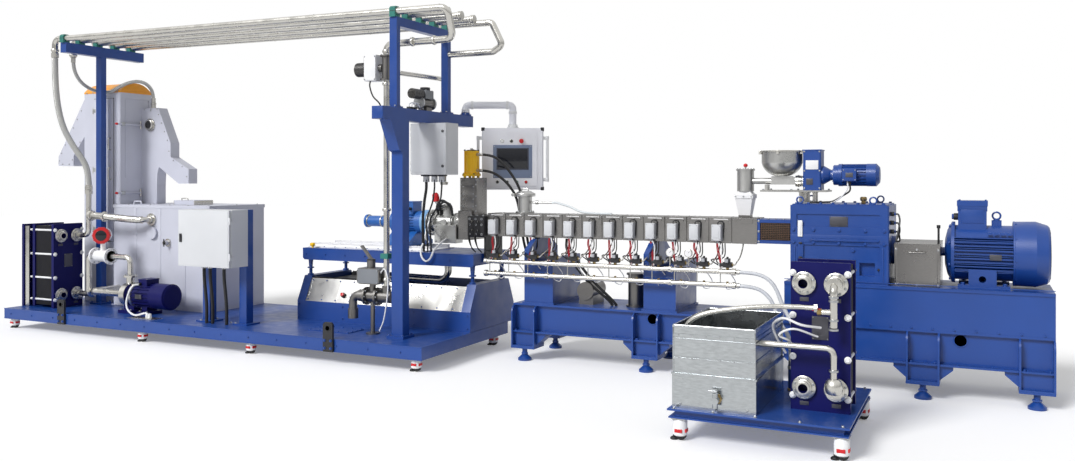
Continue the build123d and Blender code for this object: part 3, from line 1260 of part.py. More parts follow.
# Circulation pump, flow meter and skid heat exchanger
def circulation_pump():
    axis = DECK_TOP + PUMP_AXIS_HEIGHT
    x0 = PUMP_X
    body = turned_x([(0, -60), (70, -60), (105, -34), (105, 30), (70, 44), (70, 96), (PUMP_MOTOR_RADIUS, 100),
                     (PUMP_MOTOR_RADIUS, 128), (0, 128)], x0, PUMP_Y, axis)
    body += rod_z(x0, PUMP_Y, axis + 60, axis + 176, 34)
    body += rod_z(x0, PUMP_Y, axis + 160, axis + 176, 62)
    body += block(x0 - 60, x0 + 110, PUMP_Y - 90, PUMP_Y + 90, DECK_TOP, DECK_TOP + 30)
    body += block(x0 - 40, x0 + 90, PUMP_Y - 40, PUMP_Y + 40, DECK_TOP + 29, axis - 60)
    motor_x0 = x0 + 127
    cowl_x = PUMP_END - 190
    fins = Circle(PUMP_MOTOR_RADIUS - 14)
    for step in range(20):
        fins += Rot(0, 0, 18 * step) * Pos(PUMP_MOTOR_RADIUS - 12, 0) * Rectangle(22, 6)
    section = Plane(origin=(motor_x0, PUMP_Y, axis), x_dir=(0, 1, 0), z_dir=(1, 0, 0))
    body += extrude(section * fins, amount=cowl_x - motor_x0 + 1)
    body += turned_x([(0, 0), (PUMP_MOTOR_RADIUS, 0), (PUMP_MOTOR_RADIUS, 176), (PUMP_MOTOR_RADIUS - 16, 190),
                      (0, 190)], cowl_x, PUMP_Y, axis)
    body += block(motor_x0 + 60, cowl_x - 60, PUMP_Y - 70, PUMP_Y + 70, axis + 80, axis + 150)
    body += block(motor_x0 + 60, cowl_x - 40, PUMP_Y - 90, PUMP_Y + 90, DECK_TOP, DECK_TOP + 26)
    body += block(motor_x0 + 90, cowl_x - 70, PUMP_Y - 60, PUMP_Y + 60, DECK_TOP + 25, axis - 80)
    return body


def flow_meter():
    x = METER_X
    tube = rod_x(x - 110, x + 110, PUMP_Y, METER_Z, 52)
    for dx in (-110, 92):
        tube += rod_x(x + dx, x + dx + 18, PUMP_Y, METER_Z, 78)
    tube += rod_z(x, PUMP_Y, METER_Z + 40, METER_Z + 150, 22)
    head = Pos(x, PUMP_Y, METER_Z + 200) * Rot(0, 0, 35) * Rot(0, 90, 0) * Cylinder(66, 150)
    ring = Pos(x, PUMP_Y, METER_Z + 200) * Rot(0, 0, 35) * Pos(60, 0, 0) * Rot(0, 90, 0) * Cylinder(76, 44)
    return tube + head + ring


def exchanger(depth, end_half):
    """Plate heat exchanger with its port face at y = 0, its back towards +y and its left edge at x = 0."""
    w = EXCHANGER_WIDTH
    h = EXCHANGER_HEIGHT
    plate = EXCHANGER_PLATE
    front = block(0, w, 0, plate, 0, h)
    pack_depth = depth * 0.52
    pack = block(14, w - 14, plate - 1, plate + pack_depth, 30, h - 20)
    pressure = block(0, w, plate + pack_depth - 1, plate * 2 + pack_depth, 12, h)
    column = block(w / 2 - end_half, w / 2 + end_half, depth - 30, depth, 0, h - 8)
    body = front + pack + pressure + column
    for z in (26, h - 26):
        body += block(w / 2 - 14, w / 2 + 14, plate, depth - 6, z - 14, z + 14)
    reach = plate * 2 + pack_depth + 40
    for z in (80, h * 0.36, h * 0.64, h - 60):
        for x in (12, w - 12):
            body += rod_y(x, -22, reach, z, 9)
    for x in (w / 2 - PORT_PITCH / 2, w / 2 + PORT_PITCH / 2):
        for z in (PORT_LOW, PORT_HIGH):
            port = rod_y(x, -16, 1, z, PORT_RADIUS) + rod_y(x, -48, 1, z, PORT_COLLAR)
            body += port
            body -= rod_y(x, -49, plate - 4, z, PORT_BORE)
    foot = block(30, w - 30, -1, plate + 12, -1, 8)
    return body + foot - block(-1, w + 1, -60, depth + 1, -2, 0)


def skid_exchanger():
    x1 = SKID_EXCHANGER_X[1]
    depth = x1 - SKID_EXCHANGER_X[0]
    return Pos(x1, SKID_EXCHANGER_Y[0], DECK_TOP) * Rot(0, 0, 90) * exchanger(depth, EXCHANGER_WIDTH / 2)


def skid_pipes():
    axis = DECK_TOP + PUMP_AXIS_HEIGHT
    top = METER_Z
    up = bent_pipe([(PUMP_X, PUMP_Y, axis + 176), (PUMP_X, PUMP_Y, top), (METER_X + 110, PUMP_Y, top)],
                   26, 60)
    port_y = SKID_EXCHANGER_Y[0] + EXCHANGER_WIDTH / 2 + PORT_PITCH / 2
    low_z = DECK_TOP + PORT_LOW
    face = SKID_EXCHANGER_X[1]
    down = bent_pipe([(METER_X - 110, PUMP_Y, top), (METER_X - 200, PUMP_Y, top),
                      (METER_X - 200, PUMP_Y, low_z), (METER_X - 200, port_y, low_z),
                      (face + 48, port_y, low_z)], 26, 45)
    suction = rod_x(METER_X - 100, PUMP_X - 60, PUMP_Y, axis, 34)
    suction += bent_pipe([(METER_X - 99, PUMP_Y, axis), (METER_X - 130, PUMP_Y, axis),
                          (METER_X - 130, TANK_Y[0] - 0.3, axis)], 34, 30)
    high_z = DECK_TOP + PORT_HIGH
    riser_x, riser_top = HOSE_RISER
    back = bent_pipe([(face + 48, port_y, high_z), (riser_x, port_y, high_z), (riser_x, port_y, riser_top)],
                     24, 60)
    back += rod_z(riser_x, port_y, riser_top - 40, riser_top, BRAIDED_RADIUS + 6)
    back += bent_pipe([(riser_x, port_y, TANK_PIPE_Z), (METER_X - 60, port_y, TANK_PIPE_Z - 8),
                       (TANK_PIPE_X, TANK_Y[0] - 100, TANK_PIPE_Z - 36),
                       (TANK_PIPE_X, TANK_Y[0] - SEAT_GAP, TANK_PIPE_Z - 36)], 26, 60)
    down += rod_x(face + 48, face + 64, port_y, low_z, PORT_COLLAR)
    back += rod_x(face + 48, face + 64, port_y, high_z, PORT_COLLAR)
    return group([up, down, suction, back])


# Water cart
def cart_deck():
    x0, x1 = CART_X
    y0, y1 = CART_Y
    inset = 34
    deck = block(x0, x1, y0, y1, CART_TOP - CART_PLATE, CART_TOP)
    z0 = CART_TOP - CART_RIM
    rim = block(x0 + inset, x1 - inset, y0 + inset, y1 - inset, z0, CART_TOP - CART_PLATE + 1)
    rim -= block(x0 + inset + 8, x1 - inset - 8, y0 + inset + 8, y1 - inset - 8, z0 - 1, CART_TOP)
    ledge = block(x0 + 6, x1 - 6, y0 + 6, y1 - 6, z0, z0 + 8)
    ledge -= block(x0 + 100, x1 - 90, y0 + 100, y1 - 100, z0 - 1, z0 + 9)
    for x, y in CART_STUBS:
        deck += rod_z(x, y, CART_TOP - 1, CART_STUB_TOP, WATER_HOSE_RADIUS + 4)
    return deck + rim + ledge


def cart_tank():
    x0, x1 = CART_TANK_X
    y0, y1 = CART_TANK_Y
    t = CART_TANK_SHEET
    step = 8
    low = block(x0 - step, x1 + step, y0 - step, y1 + step, CART_TOP, CART_TANK_STEP)
    high = block(x0, x1, y0, y1, CART_TANK_STEP - 1, CART_TANK_TOP)
    shell = low + high
    for z in (CART_TANK_STEP + 78, CART_TANK_TOP - 60):
        shell += block(x0 - 5, x1 + 5, y0 - 5, y1 + 5, z, z + 14)
    shell += block(x0 - 6, x1 + 6, y0 - 6, y1 + 6, CART_TANK_TOP - 12, CART_TANK_TOP)
    shell -= block(x0 + t, x1 - t, y0 + t, y1 - t, CART_TOP + t, CART_TANK_TOP + 1)
    middle = x0 + (x1 - x0) * 0.55
    shell += rod_y(middle, y0 - 70, y0 - step + 1, CART_TOP + 70, 20)
    shell += rod_z(middle, y0 - 52, CART_TOP + 30, CART_TOP + 110, 15)
    return shell


def cart_exchanger():
    return Pos(CART_EXCHANGER_X, CART_EXCHANGER_Y, CART_TOP) * exchanger(CART_EXCHANGER_DEPTH, 26)


def cart_pipes():
    right_x = CART_EXCHANGER_X + EXCHANGER_WIDTH / 2 + PORT_PITCH / 2
    face = CART_EXCHANGER_Y - 48
    low_z, high_z = CART_TOP + PORT_LOW, CART_TOP + PORT_HIGH
    tank_z = 545
    tank_x = CART_TANK_X[1]
    lower = bent_pipe([(right_x, face, low_z), (right_x, face - 60, low_z), (right_x, face - 60, tank_z),
                       (tank_x + 0.3, face - 60, tank_z)], 17, 40)
    upper = bent_pipe([(right_x, face, high_z), (right_x, face - 60, high_z),
                       (right_x, face - 60, high_z - 220)], 20, 40)
    upper += rod_x(right_x - 70, right_x, face - 60, high_z - 140, 16)
    lower += rod_y(right_x, face - 16, face, low_z, PORT_COLLAR)
    upper += rod_y(right_x, face - 16, face, high_z, PORT_COLLAR)
    return group([lower, upper])


# Operator panel on a swivel arm
def panel_direction(distance):
    turn = math.radians(PANEL_TURN)
    return PANEL_PIVOT[0] + distance * math.cos(turn), PANEL_PIVOT[1] + distance * math.sin(turn)


def operator_panel():
    x, y = PANEL_PIVOT
    radius = PANEL_ARM_RADIUS
    base = GANTRY_BEAM_Z[1] + SOCKET_HEIGHT + SEAT_GAP
    ex, ey = panel_direction(PANEL_ARM_LENGTH)
    arm = bent_pipe([(x, y, base), (x, y, PANEL_ARM_Z), (ex, ey, PANEL_ARM_Z), (ex, ey, PANEL_TOP - 2)],
                    radius, radius * 1.2)
    arm += rod_z(ex, ey, PANEL_TOP - 1, PANEL_TOP + 34, radius + 9)
    width, depth, height = PANEL_SIZE
    case = Pos(0, 0, -height / 2) * Box(width, depth, height)
    case = chamfer(case.edges().filter_by(Axis.Z), 10)
    bezel = Pos(0, -depth / 2 - 3, -height / 2) * Box(width - 110, 8, height - 60)
    screen = Pos(0, -depth / 2 - 7, -height / 2 + 10) * Box(width * 0.66, 4, height * 0.46)
    box = case + bezel - screen
    for side in (-1, 1):
        grip = Pos(side * (width / 2 + 36), -depth / 2 + 30, -height / 2) * Box(14, 18, height - 150)
        box += grip
        for z in (-height / 2 - (height - 150) / 2 + 8, -height / 2 + (height - 150) / 2 - 8):
            box += Pos(side * (width / 2 + 18), -depth / 2 + 30, z) * Box(40, 18, 14)
    return arm + Pos(ex, ey, PANEL_TOP) * Rot(0, 0, PANEL_TURN) * box


# Hoses and conduits, each held at both ends
BRAIDED_ROUTES = [
    [(-4370, -885, 2669.7), (-4371, -886, 2440), (-4354, -872, 2160), (-4314, -839, 1935),
     (-4236, -774, 1742), (-4168, -710, 1603), (-4146, -687.5, 1465), (-4146, -687.5, 1338.3)],
]
CHUTE_ROUTES = [
    [(-4333, -715, 2639.7), (-4333, -715, 2560), (-4337, -680, 2470), (-4343, -610, 2395),
     (-4346, -500, 2345), (-4312, -436, 2330), (-4251, -402, 2323), (-4170, -402, 2325),
     (-4072, -390, 2375), (-3995, -320, 2425), (-3978, -210, 2440), (-3983, -105, 2405),
     (-3988, -45, 2325), (-3988, -45, 2232.3)],
]
HYDRAULIC_ROUTES = [
    [(-143.7, 0, 1656), (-60, 0, 1656), (40, 28, 1612), (140, 70, 1478), (200, 112, 1336),
     (216, 146, 1150), (224, 170, 950), (252, 188, 780), (322, 198, 640), (380, 202, 560), (380, 202, 486.3)],
    [(-143.7, 0, 1519), (-70, 0, 1519), (25, 25, 1480), (110, 60, 1396), (158, 112, 1290),
     (174, 152, 1110), (182, 178, 930), (218, 208, 760), (306, 240, 640), (380, 250, 560), (380, 250, 486.3)],
]
WATER_ROUTES = [
    [(2150.3, -345, 783), (2240, -345, 783), (2340, -385, 775), (2430, -490, 745), (2500, -640, 700),
     (2560, -800, 640), (2630, -965, 590), (2700, -1125, 545), (2745, -1230, 450), (2745, -1230, 330.3)],
    [(2150.3, -345, 686), (2240, -345, 686), (2335, -390, 672), (2415, -495, 640), (2480, -640, 595),
     (2535, -795, 545), (2590, -950, 515), (2655, -1122, 510), (2700, -1230, 450), (2700, -1230, 330.3)],
]


def braided_hoses():
    tubes = [hose("braided hose", route, BRAIDED_RADIUS) for route in BRAIDED_ROUTES]
    tubes += [hose("chute hose", route, CHUTE_HOSE_RADIUS) for route in CHUTE_ROUTES]
    return group(tubes)


def black_hoses():
    tubes = [hose("hydraulic hose", route, HYDRAULIC_RADIUS) for route in HYDRAULIC_ROUTES]
    y = (CABINET_Y[0] + CABINET_Y[1]) / 2 + 20
    z = CABINET_Z[0] - 24 - SEAT_GAP
    for x in GLAND_XS:
        route = [(x, y, z), (x, y, 590), (x + 12, y + 5, 470), (x + 16, y + 14, 350), (x + 8, y + 22, 262),
                 (x + 8, y + 22, DECK_TOP + SEAT_GAP)]
        tubes.append(hose("conduit", route, CONDUIT_RADIUS))
    return group(tubes)


def water_hoses():
    return group(hose("water hose", route, WATER_HOSE_RADIUS) for route in WATER_ROUTES)


builders = [
    base_frame, levelling_feet, drive_pedestal, lantern, gearbox, coupling_guard, main_motor, barrel,
    barrel_covers, terminal_boxes, cooling_manifolds, solenoid_valves, vent_dome, vacuum_set,
    feeder_stand, feeder_drive, hopper_bowl, feed_screw_tube, feed_funnel, adapter_block, diverter_valve,
    hydraulic_cylinder, cutting_chamber, cutter_drive, pelletiser_table, table_rails, trolley_pedestal,
    splash_panels, catch_tray, drain_pipes, skid_deck, casters, lifting_brackets, gantry, tee_post,
    pipe_clamps, overhead_pipes, process_valves, control_box, dryer_tower, dryer_cap, water_tank,
    tank_lid, cabinet_case, cabinet_door, cabinet_posts, circulation_pump, flow_meter, skid_exchanger,
    skid_pipes, cart_deck, cart_tank, cart_exchanger, cart_pipes, operator_panel, braided_hoses,
    black_hoses, water_hoses,
]
for build in builders:
    nodes[build.__name__] = build()
nodes["barrel_supports"] = group(barrel_support(x) for x in COLUMN_STARTS)

# The finished part stands with the middle of its overall box at x = 0, y = 0
overall = group(nodes.values()).bounding_box()
shift = Pos(-(overall.min.X + overall.max.X) / 2, -(overall.min.Y + overall.max.Y) / 2, 0)
print("shift", shift.position, "size", overall.size)
os.makedirs("parts", exist_ok=True)
for name, shape in nodes.items():
    export_step(shift * shape, f"parts/{name}.step")
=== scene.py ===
from itertools import product
from math import cos, hypot, radians, sin, sqrt

import bmesh
import bpy
from mathutils import Matrix, Vector


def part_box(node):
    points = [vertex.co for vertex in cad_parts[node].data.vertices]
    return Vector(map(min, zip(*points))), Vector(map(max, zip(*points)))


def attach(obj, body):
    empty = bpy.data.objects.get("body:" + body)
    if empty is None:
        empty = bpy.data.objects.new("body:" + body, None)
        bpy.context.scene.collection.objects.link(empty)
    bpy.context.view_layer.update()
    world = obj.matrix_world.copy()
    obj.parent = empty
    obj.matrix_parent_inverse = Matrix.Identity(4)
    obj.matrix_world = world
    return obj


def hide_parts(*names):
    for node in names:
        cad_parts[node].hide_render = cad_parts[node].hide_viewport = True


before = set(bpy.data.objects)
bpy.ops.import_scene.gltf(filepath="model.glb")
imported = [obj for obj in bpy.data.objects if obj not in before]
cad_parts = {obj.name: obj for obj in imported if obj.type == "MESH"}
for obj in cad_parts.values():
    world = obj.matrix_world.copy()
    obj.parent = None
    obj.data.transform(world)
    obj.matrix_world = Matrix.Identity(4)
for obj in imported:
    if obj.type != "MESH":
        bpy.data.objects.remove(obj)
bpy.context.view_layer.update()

# Lengths below are millimetres from the die end of the barrel: x along the screws towards the
# motor, y away from the viewer, z up from the floor.
barrel_low, barrel_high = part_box("barrel")
ORIGIN = Vector((barrel_low.x, (barrel_low.y + barrel_high.y) / 2, 0))
MM = 0.001

# Camera: where it stands, how far it is turned, and its focal length in photograph pixels
CAMERA_PLACE = (3746, -6875, 1455)
CAMERA_TURN = 25.9
FOCAL_PIXELS = 920
PHOTO_WIDTH = 1075
HORIZON_ABOVE_CENTRE = 52.5
SENSOR = 36

# Studio light: soft sun from the upper left front, even fill from all round, and a floor that glows
# a little where it is seen, so that it stays pale
KEY_LIGHT = 2.7
KEY_SPREAD = 20
KEY_PLACE = (-2900, -7600, 6200)
FILL_LIGHT = 0.4
FLOOR_GLOW = 0.2
SKY_LOW, SKY_HIGH = 0.42, 1.0


def at(x, y, z):
    return ORIGIN + Vector((x, y, z)) * MM


def span(node):
    """x0, x1, y0, y1, z0, z1 of a CAD node in millimetres from the die end."""
    low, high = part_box(node)
    a = (low - ORIGIN) / MM
    b = (high - ORIGIN) / MM
    return a.x, b.x, a.y, b.y, a.z, b.z


# materials
def new_material(name):
    material = bpy.data.materials.new(name)
    material.use_nodes = True
    tree = material.node_tree
    shader = tree.nodes["Principled BSDF"]
    place = tree.nodes.new("ShaderNodeTexCoord")
    return material, tree, shader, place.outputs["Object"]


def noise(tree, place, scale, detail=3.0, stretch=None):
    texture = tree.nodes.new("ShaderNodeTexNoise")
    texture.inputs["Scale"].default_value = scale
    texture.inputs["Detail"].default_value = detail
    if stretch:
        mapping = tree.nodes.new("ShaderNodeMapping")
        mapping.inputs["Scale"].default_value = stretch
        tree.links.new(place, mapping.inputs["Vector"])
        place = mapping.outputs["Vector"]
    tree.links.new(place, texture.inputs["Vector"])
    return texture.outputs["Fac"]


def remap(tree, value, low, high):
    node = tree.nodes.new("ShaderNodeMapRange")
    node.inputs["From Min"].default_value = 0.3
    node.inputs["From Max"].default_value = 0.7
    node.inputs["To Min"].default_value = low
    node.inputs["To Max"].default_value = high
    tree.links.new(value, node.inputs["Value"])
    return node.outputs["Result"]


def tint(tree, value, rgb, shade):
    """Colour that wanders between a darker and a lighter version of rgb."""
    ramp = tree.nodes.new("ShaderNodeValToRGB")
    ramp.color_ramp.elements[0].position = 0.3
    ramp.color_ramp.elements[1].position = 0.7
    ramp.color_ramp.elements[0].color = [max(0, c * (1 - shade)) for c in rgb] + [1]
    ramp.color_ramp.elements[1].color = [min(1, c * (1 + shade)) for c in rgb] + [1]
    tree.links.new(value, ramp.inputs["Fac"])
    return ramp.outputs["Color"]


def bump(tree, shader, height, strength, distance=0.001):
    node = tree.nodes.new("ShaderNodeBump")
    node.inputs["Strength"].default_value = strength
    node.inputs["Distance"].default_value = distance
    tree.links.new(height, node.inputs["Height"])
    tree.links.new(node.outputs["Normal"], shader.inputs["Normal"])


def linear(*rgb):
    """Linear colour from screen colour values of 0 to 255."""
    return [c / 12.92 if c <= 0.04045 else ((c + 0.055) / 1.055) ** 2.4 for c in (v / 255 for v in rgb)]


def combine(tree, operation, first, second):
    """Output of a math node; its inputs are outputs of other nodes, or the second a plain number."""
    node = tree.nodes.new("ShaderNodeMath")
    node.operation = operation
    tree.links.new(first, node.inputs[0])
    if isinstance(second, float):
        node.inputs[1].default_value = second
    else:
        tree.links.new(second, node.inputs[1])
    return node.outputs[0]


def painted(name, rgb, roughness=0.38, shade=0.07, coat=0.0, peel=0.12, gloss=0.5):
    """Sprayed enamel: slow colour drift, fine orange peel and slightly uneven gloss."""
    material, tree, shader, place = new_material(name)
    broad = noise(tree, place, 3.0, 5.0)
    fine = noise(tree, place, 320.0, 2.0)
    tree.links.new(tint(tree, broad, linear(*rgb), shade), shader.inputs["Base Color"])
    tree.links.new(remap(tree, noise(tree, place, 11.0), roughness - 0.07, roughness + 0.09),
                   shader.inputs["Roughness"])
    bump(tree, shader, fine, peel, 0.0006)
    shader.inputs["Coat Weight"].default_value = coat
    shader.inputs["Coat Roughness"].default_value = 0.12
    shader.inputs["Specular IOR Level"].default_value = gloss
    return material


def brushed(name, rgb, roughness=0.3, stretch=(3, 90, 90), shade=0.10, strength=0.10):
    """Ground stainless sheet: long fine scratches one way, soft cloudy gloss."""
    material, tree, shader, place = new_material(name)
    scratches = noise(tree, place, 14.0, 6.0, stretch)
    clouds = noise(tree, place, 4.5, 4.0)
    tree.links.new(tint(tree, scratches, linear(*rgb), shade), shader.inputs["Base Color"])
    tree.links.new(remap(tree, clouds, roughness - 0.08, roughness + 0.12), shader.inputs["Roughness"])
    bump(tree, shader, scratches, strength, 0.0005)
    shader.inputs["Metallic"].default_value = 1.0
    return material


def polished(name, rgb, roughness=0.18):
    """Drawn tube and turned fittings: bright, with faint handling marks."""
    material, tree, shader, place = new_material(name)
    marks = noise(tree, place, 9.0, 3.0)
    tree.links.new(tint(tree, marks, linear(*rgb), 0.06), shader.inputs["Base Color"])
    tree.links.new(remap(tree, marks, roughness, roughness + 0.16), shader.inputs["Roughness"])
    bump(tree, shader, noise(tree, place, 30.0, 2.0), 0.03, 0.0003)
    shader.inputs["Metallic"].default_value = 1.0
    return material


def moulded(name, rgb, roughness=0.45, shade=0.05, grain=0.25):
    """Moulded plastic or rubber: fine grain and soft gloss."""
    material, tree, shader, place = new_material(name)
    tree.links.new(tint(tree, noise(tree, place, 8.0), linear(*rgb), shade), shader.inputs["Base Color"])
    tree.links.new(remap(tree, noise(tree, place, 60.0), roughness - 0.06, roughness + 0.08),
                   shader.inputs["Roughness"])
    bump(tree, shader, noise(tree, place, 900.0, 2.0), grain, 0.0003)
    return material


def braided(name, rgb):
    """Woven wire sleeve of a hose: two crossing sets of fine strands."""
    material, tree, shader, place = new_material(name)
    waves = []
    for turn in (0.7, -0.7):
        mapping = tree.nodes.new("ShaderNodeMapping")
        mapping.inputs["Rotation"].default_value = (turn, turn, turn)
        wave = tree.nodes.new("ShaderNodeTexWave")
        wave.inputs["Scale"].default_value = 60.0
        tree.links.new(place, mapping.inputs["Vector"])
        tree.links.new(mapping.outputs["Vector"], wave.inputs["Vector"])
        waves.append(wave.outputs["Fac"])
    strands = combine(tree, "MAXIMUM", *waves)
    tree.links.new(tint(tree, strands, linear(*rgb), 0.3), shader.inputs["Base Color"])
    bump(tree, shader, strands, 0.6, 0.002)
    shader.inputs["Metallic"].default_value = 0.85
    shader.inputs["Roughness"].default_value = 0.42
    return material


BLUE = painted("blue_enamel", (22, 66, 142), 0.36, coat=0.15)
BRIGHT_BLUE = painted("bright_blue_enamel", (36, 96, 172), 0.36, coat=0.15)
NAVY = painted("navy_enamel", (16, 18, 84), 0.4, gloss=0.16)
GREY = painted("light_grey_powder", (208, 210, 214), 0.48, 0.03, peel=0.3)
TANK_GREY = painted("tank_sheet_grey", (198, 200, 213), 0.42, 0.04)
PANEL_WHITE = painted("panel_white_powder", (240, 241, 248), 0.42, 0.03)
WHITE = painted("white_enamel", (232, 232, 234), 0.4, 0.03)
BLACK = painted("black_enamel", (30, 30, 34), 0.42, 0.15)
YELLOW = painted("yellow_enamel", (255, 198, 14), 0.34, coat=0.1)
ORANGE = painted("orange_enamel", (236, 158, 44), 0.4)
RED = moulded("red_plastic", (200, 24, 30), 0.35)
LEAD_RED = moulded("red_lead_cover", (150, 22, 34), 0.45)
GREEN = moulded("green_clamp_plastic", (40, 118, 108), 0.4)
BLACK_RUBBER = moulded("black_rubber", (22, 22, 24), 0.55)
BLACK_PLASTIC = moulded("black_plastic", (34, 34, 38), 0.42)
WHITE_PLASTIC = moulded("white_plastic", (235, 236, 238), 0.4)
STEEL = brushed("brushed_stainless", (178, 177, 174), 0.3)
STEEL_UPRIGHT = brushed("upright_brushed_stainless", (186, 186, 184), 0.3, (90, 90, 3))
COVER_STEEL = brushed("dark_brushed_stainless", (140, 138, 136), 0.26)
HOSE_GREY = moulded("pale_grey_hose", (196, 199, 205), 0.34)
PIPE_STEEL = polished("pipe_stainless", (200, 198, 192), 0.2)
DARK_STEEL = brushed("machined_steel", (120, 118, 116), 0.36)
GALVANISED = brushed("bright_tank_sheet", (178, 182, 184), 0.2, (2, 2, 9), 0.12, 0.25)
ZINC = polished("zinc_plated_steel", (176, 178, 180), 0.3)
BRASS = polished("brass", (158, 136, 92), 0.3)
PLATE = brushed("bare_dark_plate", (92, 92, 98), 0.4)
MESH_BROWN = painted("bronze_enamel", (112, 86, 66), 0.5, 0.12)
GREY_PLASTIC = moulded("grey_plastic", (168, 170, 176), 0.45)
CLEAR_PLASTIC = moulded("pale_clear_plastic", (216, 222, 226), 0.12, 0.02, 0.03)
CAST_STEEL = painted("cast_grey_housing", (120, 124, 130), 0.36, 0.12)
PALE_BLUE = painted("pale_blue_enamel", (120, 168, 214), 0.36)
SCREEN = moulded("screen_glass", (24, 27, 36), 0.1, 0.08, 0.02)
BEZEL = painted("blue_grey_bezel", (120, 134, 162), 0.42)
BEZEL_DARK = painted("dark_bezel", (62, 66, 80), 0.42)
BRAID = braided("braided_steel", (170, 170, 168))

node_materials = [
    (BLUE, ["base_frame", "drive_pedestal", "gearbox", "main_motor", "lantern", "feeder_drive",
            "pelletiser_table", "skid_deck", "gantry", "tee_post", "cabinet_posts",
            "cart_deck", "barrel_supports", "trolley_pedestal", "levelling_feet"]),
    (NAVY, ["skid_exchanger", "cart_exchanger", "circulation_pump"]),
    (BRIGHT_BLUE, ["cutter_drive"]),
    (COVER_STEEL, ["barrel_covers", "coupling_guard", "diverter_valve"]),
    (STEEL, ["splash_panels", "feeder_stand"]),
    (STEEL_UPRIGHT, ["vent_dome", "hopper_bowl", "feed_screw_tube", "cutting_chamber"]),
    (PIPE_STEEL, ["overhead_pipes", "skid_pipes", "cart_pipes", "cooling_manifolds", "drain_pipes"]),
    (DARK_STEEL, ["barrel", "vacuum_set", "process_valves"]),
    (GALVANISED, ["cart_tank"]),
    (GREY, ["control_box", "cabinet_case", "cabinet_door", "terminal_boxes"]),
    (PANEL_WHITE, ["operator_panel"]),
    (TANK_GREY, ["water_tank", "tank_lid", "dryer_tower"]),
    (ORANGE, ["dryer_cap"]),
    (BRAID, ["braided_hoses"]),
    (HOSE_GREY, ["water_hoses"]),
    (BLACK_RUBBER, ["black_hoses"]),
    (WHITE, ["feed_funnel", "casters", "flow_meter", "table_rails"]),
    (BLACK, ["adapter_block", "solenoid_valves", "catch_tray", "lifting_brackets"]),
    (YELLOW, ["hydraulic_cylinder"]),
    (GREEN, ["pipe_clamps"]),
]
for material, names in node_materials:
    for name in names:
        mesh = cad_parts[name].data
        mesh.materials.clear()
        mesh.materials.append(material)


# shape helpers, in millimetres
batches = []


